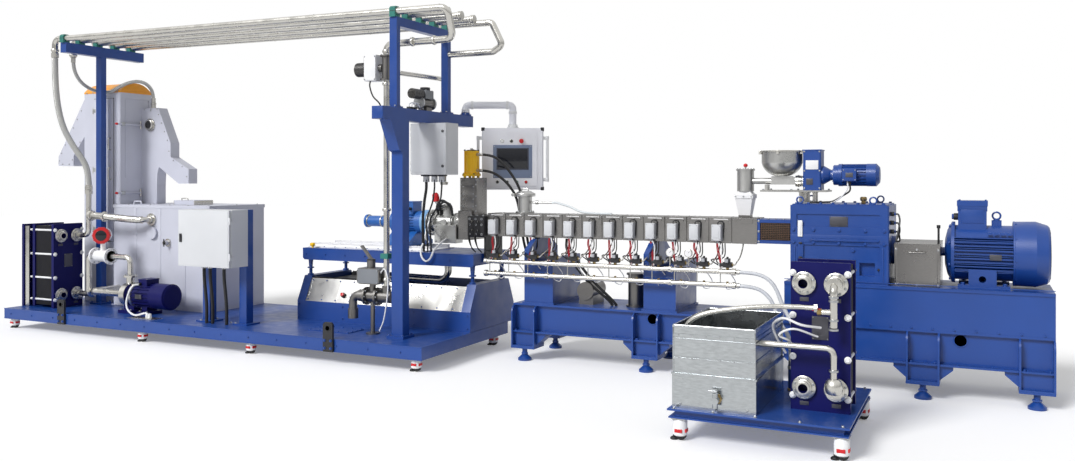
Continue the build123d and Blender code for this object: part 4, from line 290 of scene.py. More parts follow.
class Batch:
    """Shapes of one material that ride on one body, gathered into one mesh."""

    def __init__(self, name, material, body="line", replaced=(), turn=None):
        self.name, self.material, self.body = name, material, body
        self.replaced, self.turn = replaced, turn
        self.mesh = bmesh.new()
        batches.append(self)

    def add(self, part, matrix=None):
        matrix = matrix or Matrix.Identity(4)
        if self.turn is not None:
            matrix = self.turn @ matrix
        bmesh.ops.transform(part, matrix=matrix, verts=part.verts)
        data = bpy.data.meshes.new("shape")
        part.to_mesh(data)
        part.free()
        self.mesh.from_mesh(data)
        bpy.data.meshes.remove(data)

    def block(self, x0, x1, y0, y1, z0, z1, edge=1.5, segments=2):
        part = bmesh.new()
        bmesh.ops.create_cube(part, size=1)
        size = Matrix.Diagonal((x1 - x0, y1 - y0, z1 - z0, 1))
        bmesh.ops.transform(part, matrix=size, verts=part.verts)
        soften(part, min(edge, 0.4 * min(x1 - x0, y1 - y0, z1 - z0)), segments)
        self.add(part, Matrix.Translation(((x0 + x1) / 2, (y0 + y1) / 2, (z0 + z1) / 2)))

    def rod(self, start, end, radius, sides=24, edge=0.8):
        part = bmesh.new()
        axis = Vector(end) - Vector(start)
        bmesh.ops.create_cone(part, cap_ends=True, segments=sides, radius1=radius, radius2=radius,
                              depth=axis.length)
        if edge:
            rims = [e for e in part.edges if any(len(f.verts) > 4 for f in e.link_faces)]
            bmesh.ops.bevel(part, geom=rims, offset=edge, segments=2, affect="EDGES", profile=0.6)
        self.add(part, Matrix.Translation((Vector(start) + Vector(end)) / 2) @ facing(axis))

    def peg(self, place, axis, length, radius, sides=24, edge=0.8):
        """Rod that starts at the place and runs its length along the axis."""
        self.rod(place, Vector(place) + Vector(axis) * length, radius, sides, edge)

    def turned(self, base, axis, profile, sides=32, open_middle=False):
        """Round body from (distance along the axis, radius) pairs; a ring where the middle is open."""
        part = bmesh.new()
        rings = [[part.verts.new(place) for place in around("z", (0, 0, height), radius, 360 / sides)]
                 for height, radius in profile]
        skin(part, rings, open_middle)
        self.add(part, Matrix.Translation(base) @ facing(Vector(axis)))

    def tube(self, points, radius, sides=10, steps=6):
        """Round cable or bent wire on a smooth line through the points."""
        line = smooth_line([Vector(p) for p in points], steps)
        part = bmesh.new()
        side = line[1] - line[0]
        side = side.normalized().orthogonal().normalized()
        rings = []
        for index, point in enumerate(line):
            ahead = line[min(index + 1, len(line) - 1)] - line[max(index - 1, 0)]
            ahead.normalize()
            side = (side - ahead * side.dot(ahead)).normalized()
            up = ahead.cross(side)
            rings.append([part.verts.new(point + side * a + up * b)
                          for a, b, _ in around("z", (0, 0, 0), radius, 360 / sides)])
        skin(part, rings)
        self.add(part)

    def prism(self, outline, x0, x1, edge=1.2):
        """Flat outline of (y, z) corners, pushed along x."""
        part = bmesh.new()
        skin(part, [[part.verts.new((x, y, z)) for y, z in outline] for x in (x0, x1)])
        bmesh.ops.recalc_face_normals(part, faces=part.faces)
        soften(part, edge, 2)
        self.add(part)

    def bolt(self, place, axis, across=16, height=8, washer=True):
        """Hexagon head on a washer, standing out of a face along the axis."""
        place, axis = Vector(place), Vector(axis).normalized()
        if washer:
            self.rod(place - axis * 0.5, place + axis * 1.8, across * 0.72, 20, 0.4)
        self.turned(place + axis * 1.5, axis, [(0, across * 0.57), (height * 0.8, across * 0.57),
                                               (height, across * 0.47)], 6)

    def socket(self, place, axis, radius=7, height=8):
        """Socket head screw: round cap with a hollow."""
        place, axis = Vector(place), Vector(axis).normalized()
        cap = [(0, radius), (height - 1, radius), (height, radius - 1), (height, radius * 0.5),
               (height * 0.4, radius * 0.46)]
        self.turned(place, axis, cap, 18)

    def bolts(self, places, *rest):
        for place in places:
            self.bolt(place, *rest)

    def sockets(self, places, *rest):
        for place in places:
            self.socket(place, *rest)

    def pegs(self, places, *rest):
        for place in places:
            self.peg(place, *rest)

    def rounds(self, places, *rest):
        for place in places:
            self.turned(place, *rest)

    def finish(self):
        bmesh.ops.recalc_face_normals(self.mesh, faces=self.mesh.faces)
        place = Matrix.Translation(ORIGIN) @ Matrix.Scale(MM, 4)
        bmesh.ops.transform(self.mesh, matrix=place, verts=self.mesh.verts)
        data = bpy.data.meshes.new(self.name)
        self.mesh.to_mesh(data)
        self.mesh.free()
        data.materials.append(self.material)
        for face in data.polygons:
            face.use_smooth = True
        data.set_sharp_from_angle(angle=radians(34))
        piece = bpy.data.objects.new(self.name, data)
        bpy.context.scene.collection.objects.link(piece)
        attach(piece, self.body)
        if self.replaced:
            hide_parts(*self.replaced)


def kit(body="line", turn=None, **pieces):
    """A batch for each piece name, in the material given for it."""
    return [Batch(name, material, body, turn=turn) for name, material in pieces.items()]


def soften(part, edge, segments):
    if edge > 0:
        bmesh.ops.bevel(part, geom=list(part.edges), offset=edge, segments=segments,
                        affect="EDGES", profile=0.6)


def facing(axis):
    """Turns +z onto the axis."""
    return axis.to_track_quat("Z", "Y").to_matrix().to_4x4()


def skin(part, rings, closed=False):
    """Faces between rings of points, with an end face on each side unless they close on themselves."""
    count = len(rings[0])
    for low, high in zip(rings, rings[1:] + (rings[:1] if closed else [])):
        for k in range(count):
            part.faces.new((low[k], low[(k + 1) % count], high[(k + 1) % count], high[k]))
    if not closed:
        part.faces.new(list(reversed(rings[0])))
        part.faces.new(rings[-1])


def smooth_line(points, steps):
    """Points along a Catmull-Rom curve through the given ones."""
    ends = [points[0] * 2 - points[1]] + points + [points[-1] * 2 - points[-2]]
    line = []
    for a, b, c, d in zip(ends, ends[1:], ends[2:], ends[3:]):
        for step in range(steps):
            t = step / steps
            line.append(0.5 * (2 * b + (c - a) * t + (2 * a - 5 * b + 4 * c - d) * t * t
                               + (3 * b - a - 3 * c + d) * t ** 3))
    line.append(points[-1].copy())
    return line


def around(axis, centre, radius, step, first=0, count=None):
    """Places round a centre, one every step degrees, in the plane across the axis."""
    x, y, z = centre
    places = []
    for k in range(count or round(360 / step)):
        a, b = radius * cos(radians(first + step * k)), radius * sin(radians(first + step * k))
        places.append({"x": (x, y + a, z + b), "y": (x + a, y, z + b), "z": (x + a, y + b, z)}[axis])
    return places


def grid(*values):
    """Every (x, y, z) from the values given for each of them; a bare number is a single value."""
    return product(*[(value,) if isinstance(value, (int, float)) else value for value in values])


def collar(inner, outer, length, edge=2):
    """Profile of a round collar with eased rims."""
    return [(0, inner), (edge, outer), (length - edge, outer), (length, inner)]


# sizes of the plant that the details share
UP, DOWN = (0, 0, 1), (0, 0, -1)
FRONT, BACK = (0, -1, 0), (0, 1, 0)
LEFT, RIGHT = (-1, 0, 0), (1, 0, 0)
AXIS_Z = 1065
DRIVE_Z = 953
MODULE = 172
MODULES = 12
COVER_HALF = 120
COVER_TOP = 1160
LEG_STARTS = (335, 1356, 2556, 3279, 3944)
COLUMN_STARTS = (424, 1431)
COLUMN_FLANGE = 231
MANIFOLD_Y = -345
MANIFOLD_LEVELS = (686, 783)
PIPE_YS = (-885, -715, -515, -315, -120)
PIPE_RADIUS = 28
TEE_X = -4232
PORTAL_X = -406
RISER = (-570, -760)
PANEL_PIVOT = (-403.8, 205.4)
PANEL_ARM_LENGTH = 421
PANEL_TURN = 25.9
METER_TURN = -52
CONDUIT_XS, CONDUIT_Y = (-2337, -2267, -2107), -963
WATER_PORT_XS, WATER_PORT_Y = (2745, 2700), -1230


# extruder
def dress_base():
    steel, blue = kit(base_fixings=BLUE, base_trim=BLUE)
    x0, x1 = span("base_frame")[:2]
    for start in LEG_STARTS:
        middle = start + 102
        steel.rounds(grid(middle, (-293, 293), (46, 92)), UP, collar(26, 29, 16, 3), 6)
        steel.rounds(grid(middle, (-293, 293), range(63, 91, 4)), UP, [(0, 19.6), (1.5, 20.8), (3, 19.6)], 20)
        steel.bolts(grid((middle - 72, middle + 72), (-305, 305), 235), UP, 16, 9)
        blue.block(start - 1.5, start + 204, -337, -150, 96, 108, 1)
    steel.bolts(grid(range(int(x0) + 60, int(x1) - 40, 200), -303, 235), UP, 12, 6)
    blue.block(x0 + 1, x1 - 1, -322, -318, 223, 236, 1)
    blue.block(x0 - 1, 2470, -292, -288, 436, 451, 1)
    blue.rounds(grid((1498, 3607), -262, 392), FRONT,
                [(-2, 46), (3, 46), (4.5, 43), (4.5, 37.5), (-2, 37.5)], 40)


def eye(batch, x, y, z, size=22):
    """Lifting eye that stands across the line."""
    batch.peg((x, y, z), UP, 8, size * 0.8, 20, 1)
    batch.tube(around("y", (x, y, z + 6 + size), size, 24, -90, 16), size * 0.26, 10, 3)


def dress_gearbox():
    blue, steel, dark, plate, glass, brass = kit(
        gearbox_trim=BLUE, gearbox_fixings=BLUE, gearbox_fittings=BLACK_PLASTIC, gearbox_plates=PLATE,
        gearbox_sight_glass=WHITE_PLASTIC, gearbox_breather=BRASS)
    x0, x1, z1 = 2519, 3171, 1266
    front = -290
    for x, y in ((x0 + 60, -240), (x1 - 104, -250), (x0 + 60, 240), (x1 - 104, 250)):
        eye(steel, x, y, z1 + 7)
    steel.bolts(grid(range(x0 + 40, x1 - 20, 82), (-258, 258), z1 + 8), UP, 18, 9)
    columns = (x0 + 24, x0 + 160, x0 + 330, x0 + 500, x1 - 30)
    steel.bolts(grid(columns, front, (z1 - 170, z1 - 258)), FRONT, 20, 10)
    blue.block(x0 + 4, x1 - 4, front - 2.5, front + 2, z1 - 262, z1 - 205, 2)
    for x in (x0 + 30, x0 + 44, x1 - 44):
        blue.block(x, x + 10, front - 6, front + 2, 742, 980, 3)
    steel.bolts(grid((x0 + 74, x0 + 420), front + 8, (790, 960)), FRONT, 22, 10)
    blue.block(2572, 2612, front - 6, front + 4, 890, 1014, 5, 3)
    glass.block(2574, 2606, front - 12, front - 3, 1046, 1160, 4, 3)
    glass.block(2584, 2596, front - 15, front - 11, 1062, 1144, 2, 2)
    for z in (896, 996):
        dark.block(2580, 2604, front - 14, front - 5, z, z + 12, 2)
    plate.block(2786, 2906, front + 6, front + 10.5, 1118, 1190, 1)
    steel.sockets(grid((2793, 2899), front + 6.5, (1125, 1183)), FRONT, 3, 2.5)
    for step in range(4):
        blue.block(2650, 3100, front - 13.5 + step, front - 10, 1020 + step * 6, 1023 + step * 6, 1)
    dark.peg((x1 - 66, front + 44, 834), FRONT, 34, 20, 24, 2)
    dark.peg((x1 - 66, front + 12, 834), FRONT, 14, 9, 6, 1)
    for z in (1090, 1150, 1210):
        dark.peg((x1, -180, z), RIGHT, 24, 15, 18, 2)
        steel.peg((x1 + 22, -180, z), RIGHT, 12, 10, 6, 1)
        dark.tube([(x1 + 30, -180, z), (x1 + 52, -186, z - 6), (x1 + 60, -200, z - 60),
                   (x1 + 40, -230, 1030)], 6)
    brass.peg((2990, -120, z1 + 7), UP, 23, 16, 6, 1)
    brass.turned((2990, -120, z1 + 30), UP, [(0, 20), (5, 23), (22, 23), (28, 16)], 24)
    for z in (742, 760):
        blue.block(2480, 4148, -297, -286.5, z - 15, z - 11, 1)
    steel.bolts(grid(range(2530, 4120, 130), -287, 462), FRONT, 13, 7)


def dress_lantern():
    mesh, steel, back = kit(lantern_mesh=MESH_BROWN, lantern_fixings=ZINC, lantern_back=BLACK_RUBBER)
    for side in (-1, 1):
        mesh.pegs(grid(range(2282, 2503, 13), side * 112, 1003), UP, 124, 1.6, 6, 0)
        mesh.pegs(grid(2274, side * 114.5, range(1007, 1137, 13)), RIGHT, 225, 1.6, 6, 0)
    steel.bolts(grid((2263, 2510), -120, (990, 1065, 1140)), FRONT, 11, 6)
    steel.bolts(grid(range(2275, 2500, 55), -95, 1153), UP, 11, 6)
    for y in (-107, 105.5):
        back.block(2274, 2500, y, y + 1.5, 1002, 1128, 0.3)


def dress_guard():
    sheet, steel, dark = kit(guard_trim=COVER_STEEL, guard_fixings=ZINC, guard_rod=BLACK_RUBBER)
    x0, x1, y = 3201, 3483, -240
    for x in (x0 + 3, x1 - 17):
        sheet.block(x, x + 14, y - 2.5, y + 1, 732, 990, 1)
    sheet.block(x0, x1, y - 2.5, y + 1, 730, 746, 1)
    sheet.block(x0 - 1, x1 + 1, y - 4, 238, 1011, 1015.5, 1)
    steel.bolts(grid((x0 + 10, (x0 + x1) / 2, x1 - 10), y - 2, (740, 975)), FRONT, 11, 6)
    sheet.tube([(x0 + 88, y - 2, 958), (x0 + 90, y - 24, 958), (x0 + 100, y - 30, 958),
                (x1 - 100, y - 30, 958), (x1 - 90, y - 24, 958), (x1 - 88, y - 2, 958)], 5)
    dark.peg((x1 - 12, -160, 1013), UP, 109, 7, 16)
    dark.peg((x1 - 12, -160, 1118), UP, 22, 12, 20, 2)


def dress_motor():
    blue, steel, dark, plate = kit(motor_trim=BLUE, motor_fixings=BLUE, motor_seals=BLACK_RUBBER,
                                   motor_plate=PLATE)
    x0, x1 = 3568, 3919
    axis = (0, DRIVE_Z)
    steel.bolts(around("x", (3540, *axis), 190, 45, 22.5), LEFT, 15, 8)
    lid_z = DRIVE_Z + 350
    dark.block(x0 + 15, x0 + 198, -100, 100, lid_z - 38, lid_z - 34, 1)
    steel.sockets(grid((x0 + 26, x0 + 187), (-90, 0, 90), lid_z), UP, 6, 5)
    blue.block(x0 + 38, x0 + 175, -98, -94, lid_z - 150, lid_z - 60, 2)
    blue.prism([(-95, lid_z - 70), (-104, lid_z - 36), (104, lid_z - 36), (95, lid_z - 70)],
               x0 + 16, x0 + 197)
    dark.pegs(grid(x0 + 19, (-40, 40), lid_z - 110), LEFT, 27, 22, 20, 2)
    steel.pegs(grid(x0 - 6, (-40, 40), lid_z - 110), LEFT, 14, 17, 6, 1)
    eye(steel, x0 + 252, 0, DRIVE_Z + 219, 24)
    for x in range(x0 + 196, x0 + 348, 38):
        blue.block(x, x + 26, -190, -150, DRIVE_Z + 128, DRIVE_Z + 146, 3, 3)
    for k in range(13):
        z = DRIVE_Z - 118 + k * 17.5
        reach = sqrt(206 ** 2 - (z - DRIVE_Z) ** 2)
        for inner in (-reach - 1, reach - 26):
            blue.block(x0 + 4, x1 - 2, inner, inner + 27, z - 2, z + 2, 0.8)
    plate.block(x0 + 210, x0 + 280, -209.5, -205, DRIVE_Z - 34, DRIVE_Z + 4, 1)
    steel.bolts(grid((x0 + 50, x1 - 50), (-165, 165), 750), UP, 24, 14)
    for x, y, z in around("x", (3934, *axis), 211, 40, 30):
        steel.socket((x, y, z), (0, y, z - DRIVE_Z), 6, 4)
    blue.turned((3919, *axis), RIGHT, [(-4, 206), (-2, 214), (8, 214), (10, 212)], 72)
    for radius in (60, 95, 130, 165):
        dark.tube(around("x", (4130, *axis), radius, 20, 0, 19), 3, 8, 2)
    for start, end in zip(around("x", (4131, *axis), 20, 60), around("x", (4131, *axis), 172, 60)):
        dark.rod(start, end, 2.5, 8, 0)


def valve_x(index):
    middle = 198 + index * MODULE
    for start in COLUMN_STARTS:
        flange = start + COLUMN_FLANGE
        if abs(middle - flange) < 50:
            middle = flange - 62
    return middle


def dress_covers():
    screws, sheet, bright = kit(cover_screws=ZINC, cover_edges=COVER_STEEL, cover_grips=WHITE)
    for index in range(MODULES + 1):
        x0 = index * MODULE + 2
        x1 = x0 + (MODULE - 4 if index < MODULES else 186)
        for side, axis in ((-1, FRONT), (1, BACK)):
            screws.sockets(grid((x0 + 9, x1 - 9), side * COVER_HALF, (980, 1148)), axis, 3.6, 3)
        for x in (x0, x1 - 3):
            sheet.block(x, x + 3, -121.2, 121.2, COVER_TOP - 3, COVER_TOP + 1.2, 0.8)
            sheet.block(x, x + 3, -121.2, -119, 972, COVER_TOP, 0.8)
        screws.sockets(grid((x0 + 40, x1 - 40), (-96, 96), COVER_TOP), UP, 4, 3)
        if index < MODULES:
            bright.block(x0 + 34, x1 - 24, -122, -119.5, 1137, 1151, 1.2)
            sheet.block(x0 + 4, x1 - 4, -124.5, -119, 1121, 1125, 1)
        sheet.block(x0 + 3, x1 - 3, -122.5, -119, COVER_TOP - 5, COVER_TOP + 1, 1)
    for index in range(MODULES):
        x = index * MODULE + 32
        screws.sockets(grid((x + 10, x + 62), -174.5, (997, 1099)), FRONT, 3.4, 2.5)
    for z in MANIFOLD_LEVELS:
        screws.bolts(around("x", (103, MANIFOLD_Y, z), 21, 60), LEFT, 6, 4, False)
        screws.bolts(around("x", (2162, MANIFOLD_Y, z), 21, 60), RIGHT, 6, 4, False)
        screws.bolts([(start + COLUMN_FLANGE, -371, z) for start in COLUMN_STARTS], FRONT, 9, 6)


def dress_cooling():
    """Terminal boxes, their leads, and the cooling valve and tubes under each barrel section."""
    pale, dark, red, black, white, brass, coil, plug, tubes, gauge, dial = kit(
        terminal_lids=GREY, terminal_bails=BLACK_PLASTIC, red_leads=LEAD_RED, black_leads=BLACK_RUBBER,
        white_leads=WHITE_PLASTIC, valve_brass=BRASS, valve_coils=BLACK_PLASTIC, valve_plugs=GREY_PLASTIC,
        cooling_tubes=PIPE_STEEL, gauge_cases=PIPE_STEEL, gauge_dials=WHITE)
    for index in range(MODULES):
        x = index * MODULE + 32
        pale.block(x + 2, x + 70, -175, -169, 990, 1106, 5, 3)
        pale.block(x + 14, x + 58, -177.5, -173, 1012, 1084, 4, 3)
        dark.tube([(x + 46, -160, 1104), (x + 47, -158, 1124), (x + 60, -150, 1134), (x + 76, -134, 1128),
                   (x + 82, -124, 1108), (x + 80, -122, 1060), (x + 76, -121, 1010)], 4)
        dark.peg((x + 36, -145, 971), UP, 14, 13, 6, 1)
        middle = x + 36
        for batch, shift, radius in ((red, -5, 4.2), (red, 5, 4.2), (white, 22, 4.5)):
            lean = 3 * ((index * 7 + shift) % 5) - 6
            batch.tube([(middle + shift * 0.6, -145, 980), (middle + 12 + shift + lean, -168, 930),
                        (middle + 38 + shift - lean, -226, 884), (middle + 60 + shift * 0.6, -276, 842),
                        (middle + 68 + shift * 0.4, -300, 800)], radius, 8)
        for drop in (0, 1):
            black.tube([(middle + 30 + drop * 22, -110, 978),
                        (middle + 44 + drop * 10, -150, 900 - drop * 30),
                        (middle + 26 - drop * 40, -250, 856), (middle + 56, -320, 838 - drop * 12)], 4.5, 8)
        v = valve_x(index)
        coil.block(v - 18, v + 18, -364, -326, 846, 878, 3, 3)
        coil.block(v - 60, v - 20, -350, -322, 818, 842, 3)
        coil.peg((v, MANIFOLD_Y, 878), UP, 12, 8, 20, 1)
        plug.block(v - 12, v + 12, -380, -363, 850, 874, 3, 3)
        brass.block(v - 22, v + 30, -358, -320, 816, 846, 3)
        brass.peg((v + 29, -338, 832), RIGHT, 11, 11, 6, 1)
        brass.peg((v, MANIFOLD_Y, 800), UP, 16, 12, 6, 1)
        brass.pegs(grid(v, MANIFOLD_Y, MANIFOLD_LEVELS), UP, 26, 9, 6, 1)
        white.tube([(v + 8, MANIFOLD_Y, 786), (v + 14, -300, 760), (v + 34, -250, 700),
                    (v + 10, -240, 640 + 8 * (index % 3)), (v - 22, -270, 650), (v - 18, -320, 682)], 3.4, 8)
        tubes.tube([(v + 38, -338, 832), (v + 52, -334, 834), (v + 58, -310, 850), (v + 58, -210, 880),
                    (v + 56, -120, 940), (v + 54, -84, 1000)], 5)
        tubes.tube([(v - 38, -338, 832), (v - 48, -338, 826), (v - 52, -342, 806),
                    (v - 52, MANIFOLD_Y, 700)], 4)
    for dx, lift in ((0, 0), (34, 16)):
        black.tube([(700 + dx, -60, 960), (716 + dx, -90, 880 + lift), (800 + dx, -120, 760 + lift),
                    (930 + dx, -130, 620 + lift), (1080 + dx, -120, 500), (1120 + dx, -110, 452)], 11, 10)
    for x in (1660, 1800):
        gauge.turned((x, -330, 905), FRONT, [(0, 24), (2, 30), (20, 30), (22, 27)], 32)
        dial.turned((x, -351.5, 905), FRONT, [(0, 25), (1, 25)], 32)
        coil.rod((x, -353, 905), (x + 12, -353, 918), 1.2, 6, 0)
        gauge.peg((x, -340, 878), DOWN, 66, 6, 12)


def dress_vent():
    steel, bolts, hose = kit(vent_trim=STEEL_UPRIGHT, vent_bolts=ZINC, clear_vent_hose=CLEAR_PLASTIC)
    x, top = 292, COVER_TOP
    bolts.bolts(around("z", (x, 0, top + 14), 69, 45, 20), UP, 10, 7)
    steel.turned((x, 0, top), UP, [(139, 60), (141, 84), (146, 87), (164, 87), (169, 84), (171, 60)], 48)
    steel.block(x - 98, x - 78, -16, 16, top + 144, top + 166, 3)
    bolts.peg((x - 92, -34, top + 155), BACK, 60, 5, 14)
    steel.turned((x - 92, -34, top + 155), FRONT, [(0, 9), (4, 14), (12, 14), (16, 8)], 16)
    steel.tube([(x - 30, 0, top + 180), (x - 30, 0, top + 198), (x - 16, 0, top + 206),
                (x + 16, 0, top + 206), (x + 30, 0, top + 198), (x + 30, 0, top + 180)], 5)
    hose.tube([(x + 248, 0, top + 92), (x + 300, -4, top + 90), (x + 420, -20, top + 60),
               (x + 520, -40, top + 24), (x + 640, -60, top + 12), (x + 800, -60, top + 11)], 9)


def dress_feeder():
    steel, bright, blue, plate, white, dark, red, funnel = kit(
        feeder_fixings=ZINC, feeder_bright=PIPE_STEEL, feeder_trim=BLUE, feeder_plate=PLATE,
        feeder_label_plate=WHITE, feeder_cable=BLACK_RUBBER, red_ball=RED, funnel_bolts=ZINC)
    base, axis, bowl, screw_end = 1367, 1476, 2408, 2139
    white.block(2590, 2678, -78.5, -74.5, base + 150, base + 215, 1)
    plate.block(2594, 2640, -78.5, -74.5, base + 40, base + 84, 1)
    steel.bolts(grid((2580, 2686), -75, (base + 14, base + 140, base + 278)), FRONT, 9, 5)
    blue.block(2566, 2700, -79, 79, base + 284, base + 293, 3)
    steel.bolts(around("x", (2776, 0, axis), 62, 45), LEFT, 9, 5)
    blue.block(2848, 2942, -124, -112, axis - 42, axis + 42, 4, 3)
    steel.sockets(grid((2856, 2934), -123, (axis - 34, axis + 34)), FRONT, 4, 3)
    plate.block(2870, 2920, -126, -123, axis - 16, axis + 16, 1)
    dark.peg((2895, -98, axis - 44), DOWN, 18, 11, 6, 1)
    dark.tube([(2895, -98, axis - 60), (2896, -100, axis - 110), (2850, -120, 1330), (2790, -150, 1292),
               (2740, -170, 1286), (2640, -190, 1283)], 6)
    white.tube([(2880, -98, axis - 44), (2880, -104, axis - 96), (2840, -130, 1320), (2800, -170, 1288),
                (2790, -240, 1283)], 5)
    steel.bolts(grid((2300, 2500, 2720), (-138, 138), base), UP, 13, 8)
    rim = base + 288
    bright.turned((bowl, 0, rim), UP, [(-11, 150), (-9, 162), (-1, 162), (1, 160), (1, 144), (-11, 144)], 56)
    for x, y, z in around("z", (bowl, 0, rim), 158, 70, 200, 3):
        bright.block(x - 10, x + 10, y - 6, y + 6, z - 26, z + 4, 2)
    ball = [(15 - 15 * cos(radians(a)), 16 * sin(radians(a)) + 0.2) for a in range(0, 181, 15)]
    red.turned((screw_end, 0, 1534), UP, ball, 28)
    steel.bolts(around("z", (screw_end, 0, 1522), 60, 60), UP, 8, 5)
    bright.rounds(grid((2550, 2645), (-60, 60), 1274), UP,
                  [(0, 13), (6, 13), (8, 9), (74, 9), (76, 13), (81, 13)], 20)
    bright.turned((2571, 0, 1276), UP, [(0, 44), (8, 44), (10, 36), (70, 36), (72, 44), (79, 44)], 32)
    bright.turned((2520, 0, base + 66), RIGHT, collar(30, 44, 15, 3), 36)
    funnel.bolts(grid((screw_end - 58, screw_end, screw_end + 58), -69, 1318), FRONT, 9, 5)


# die head and pelletiser
def dress_die_head():
    steel, black, dark, bright, sheet, yellow = kit(
        die_fixings=ZINC, die_trim=BLACK, die_cables=BLACK_RUBBER, die_bright=PIPE_STEEL,
        die_sheet=COVER_STEEL, cylinder_trim=YELLOW)
    middle = -223
    steel.sockets(grid((-138, -80, -24), -175, (985, 1065, 1112)), FRONT, 10, 9)
    steel.sockets(grid((-138, -80, -24), (-150, -50, 50, 150), 1137), UP, 9, 8)
    for x, y, z in grid((-110, -52), -175, (1020, 1092)):
        bright.peg((x, y, z), FRONT, 29, 7, 16)
        dark.tube([(x, -202, z), (x - 4, -222, z - 6), (x - 10, -228, z - 70), (x - 6, -190, 880),
                   (x - 4, -120, 830)], 4.5)
    black.block(-158, -4, -179, -172, 974, 1122, 3)
    steel.sockets(grid((-276, -130), -85, (1175, 1220, 1300, 1400, 1440)), FRONT, 7, 6)
    for z in (1190, 1296, 1402):
        sheet.block(-268, -138, -87, -84, z, z + 3, 0.8)
    for z in (1204, 1310):
        sheet.block(-262, -144, -89, -84, z, z + 82, 2)
    steel.bolts(grid((-252, -154), -89, (1214, 1276, 1320, 1382)), FRONT, 9, 5)
    steel.sockets(grid(-292, (-94, 94), (950, 1050, 1150)), LEFT, 8, 7)
    yellow.rounds(grid(middle, 0, (1471, 1499, 1633, 1677)), UP,
                  [(0, 52), (0.5, 58), (6, 60), (11, 58), (12, 52)], 40)
    yellow.pegs(grid((middle - 42, middle + 42), (-42, 42), 1500), UP, 190, 6.5, 16)
    black.bolts(grid((middle - 42, middle + 42), (-42, 42), 1688), UP, 15, 10)
    black.bolts(grid((middle - 50.4, middle + 50.4), (-50.4, 50.4), 1484), UP, 15, 10)
    black.turned((middle, 0, 1683), UP, [(0, 44), (3, 46), (12, 46), (14, 40)], 36)
    bright.peg((middle, 0, 1696), UP, 16, 12, 6, 1)
    for z in (1519, 1656):
        bright.peg((-178, 0, z), RIGHT, 18, 16, 6, 1.5)
        bright.peg((-158, 0, z), RIGHT, 22, 12.5, 6, 1)
        bright.turned((-146, 0, z), RIGHT, [(0, 12), (2, 13.5), (30, 13.5), (34, 12)], 24)


def dress_chamber():
    ride = "cutter_carriage"
    steel, bright, dark, white, blue, pale, cap = kit(
        ride, chamber_fixings=ZINC, chamber_trim=STEEL_UPRIGHT, chamber_cables=BLACK_RUBBER,
        chamber_hose=WHITE_PLASTIC, cutter_trim=BRIGHT_BLUE, cutter_coupling=PALE_BLUE, chamber_cap=RED)
    steel.bolts(around("x", (-317.3, 0, AXIS_Z), 94, 30, 15), LEFT, 12, 8)
    steel.bolts(around("x", (-590, 0, AXIS_Z), 96, 30, 15), RIGHT, 12, 8)
    bright.rounds(grid((-560, -380), 0, AXIS_Z), RIGHT, collar(78.5, 88, 16), 48)
    for x in (-552, -372):
        bright.block(x - 7, x + 7, -108, -84, AXIS_Z - 14, AXIS_Z + 14, 3)
        bright.peg((x, -100, AXIS_Z - 12), UP, 56, 5, 14)
        bright.turned((x, -100, AXIS_Z + 44), UP, [(0, 10), (4, 14), (14, 14), (18, 8)], 16)
    bright.peg((-455, -70, AXIS_Z), FRONT, 22, 34, 32, 2)
    steel.bolts(around("y", (-455, -92, AXIS_Z), 28, 60), FRONT, 7, 4)
    bright.block(-508, -305, -138, -134, 902, 1052, 2)
    steel.bolts(grid((-498, -315), -138, (912, 1042)), FRONT, 10, 6)
    bright.turned((-483, -10, 1176), (-0.375, 0, 0.927),
                  [(0, 62), (3, 70), (9, 66), (12, 60), (15, 66), (21, 70), (24, 62)], 40)
    white.tube([(-560, -86, 1110), (-566, -150, 1060), (-548, -240, 930), (-530, -322, 850),
                (-505, -346, 790), (-462, -350, 758), (-420, -346, 784), (-398, -326, 850),
                (-396, -230, 900), (-396, -138, 935)], 8, 12)
    white.tube([(-572, -80, 1100), (-590, -140, 1030), (-584, -160, 940), (-560, -150, 900)], 6, 10)
    for k in range(2):
        dark.tube([(-520 + k * 30, -60, 1140), (-512 + k * 30, -96, 1212),
                   (-450 + k * 20, -112, 1262 - k * 14), (-380 + k * 12, -104, 1216),
                   (-350, -96 - k * 8, 1130)], 10)
    pale.turned((-628, 0, AXIS_Z), LEFT, [(0, 101.5), (3, 110), (60, 110), (66, 101.5)], 56)
    bright.turned((-592, 0, AXIS_Z), LEFT, [(0, 106), (3, 114), (28, 114), (34, 106)], 64)
    bright.tube([(-505, -50, 1180), (-520, -60, 1225), (-538, -64, 1256)], 17, 20, 4)
    cap.turned((-536, -64, 1250), (-0.16, -0.1, 0.98), [(0, 20), (4, 27), (34, 31), (62, 28), (78, 16)], 32)
    steel.bolts(around("x", (-716, 0, AXIS_Z), 84, 45), LEFT, 12, 8)
    blue.block(-958, -772, -76, 76, AXIS_Z + 172, AXIS_Z + 184, 4, 3)
    steel.sockets(grid((-948, -782), (-64, 64), AXIS_Z + 184), UP, 5, 4)
    dark.peg((-800, -68, AXIS_Z + 120), FRONT, 24, 14, 6, 1)
    dark.tube([(-800, -90, AXIS_Z + 120), (-806, -130, AXIS_Z + 112), (-840, -150, AXIS_Z + 20),
               (-880, -150, 930), (-930, -120, 885)], 7)
    blue.turned((-974, 0, AXIS_Z), LEFT, [(0, 96), (2, 98), (36, 98), (41, 88)], 56)
    for z in range(AXIS_Z - 50, AXIS_Z + 58, 12):
        dark.block(-1014.5, -1013.2, -60, 60, z, z + 5, 0)
    bright.rounds(grid((-1296, -1150), 0, AXIS_Z), RIGHT, collar(49.3, 54, 14), 40)
    steel.bolts(around("x", (-1317, 0, AXIS_Z), 50, 60, 30), LEFT, 10, 6)
    steel.bolts(grid((-985, -745), (-170, -110, 110, 170), 899), UP, 14, 8)


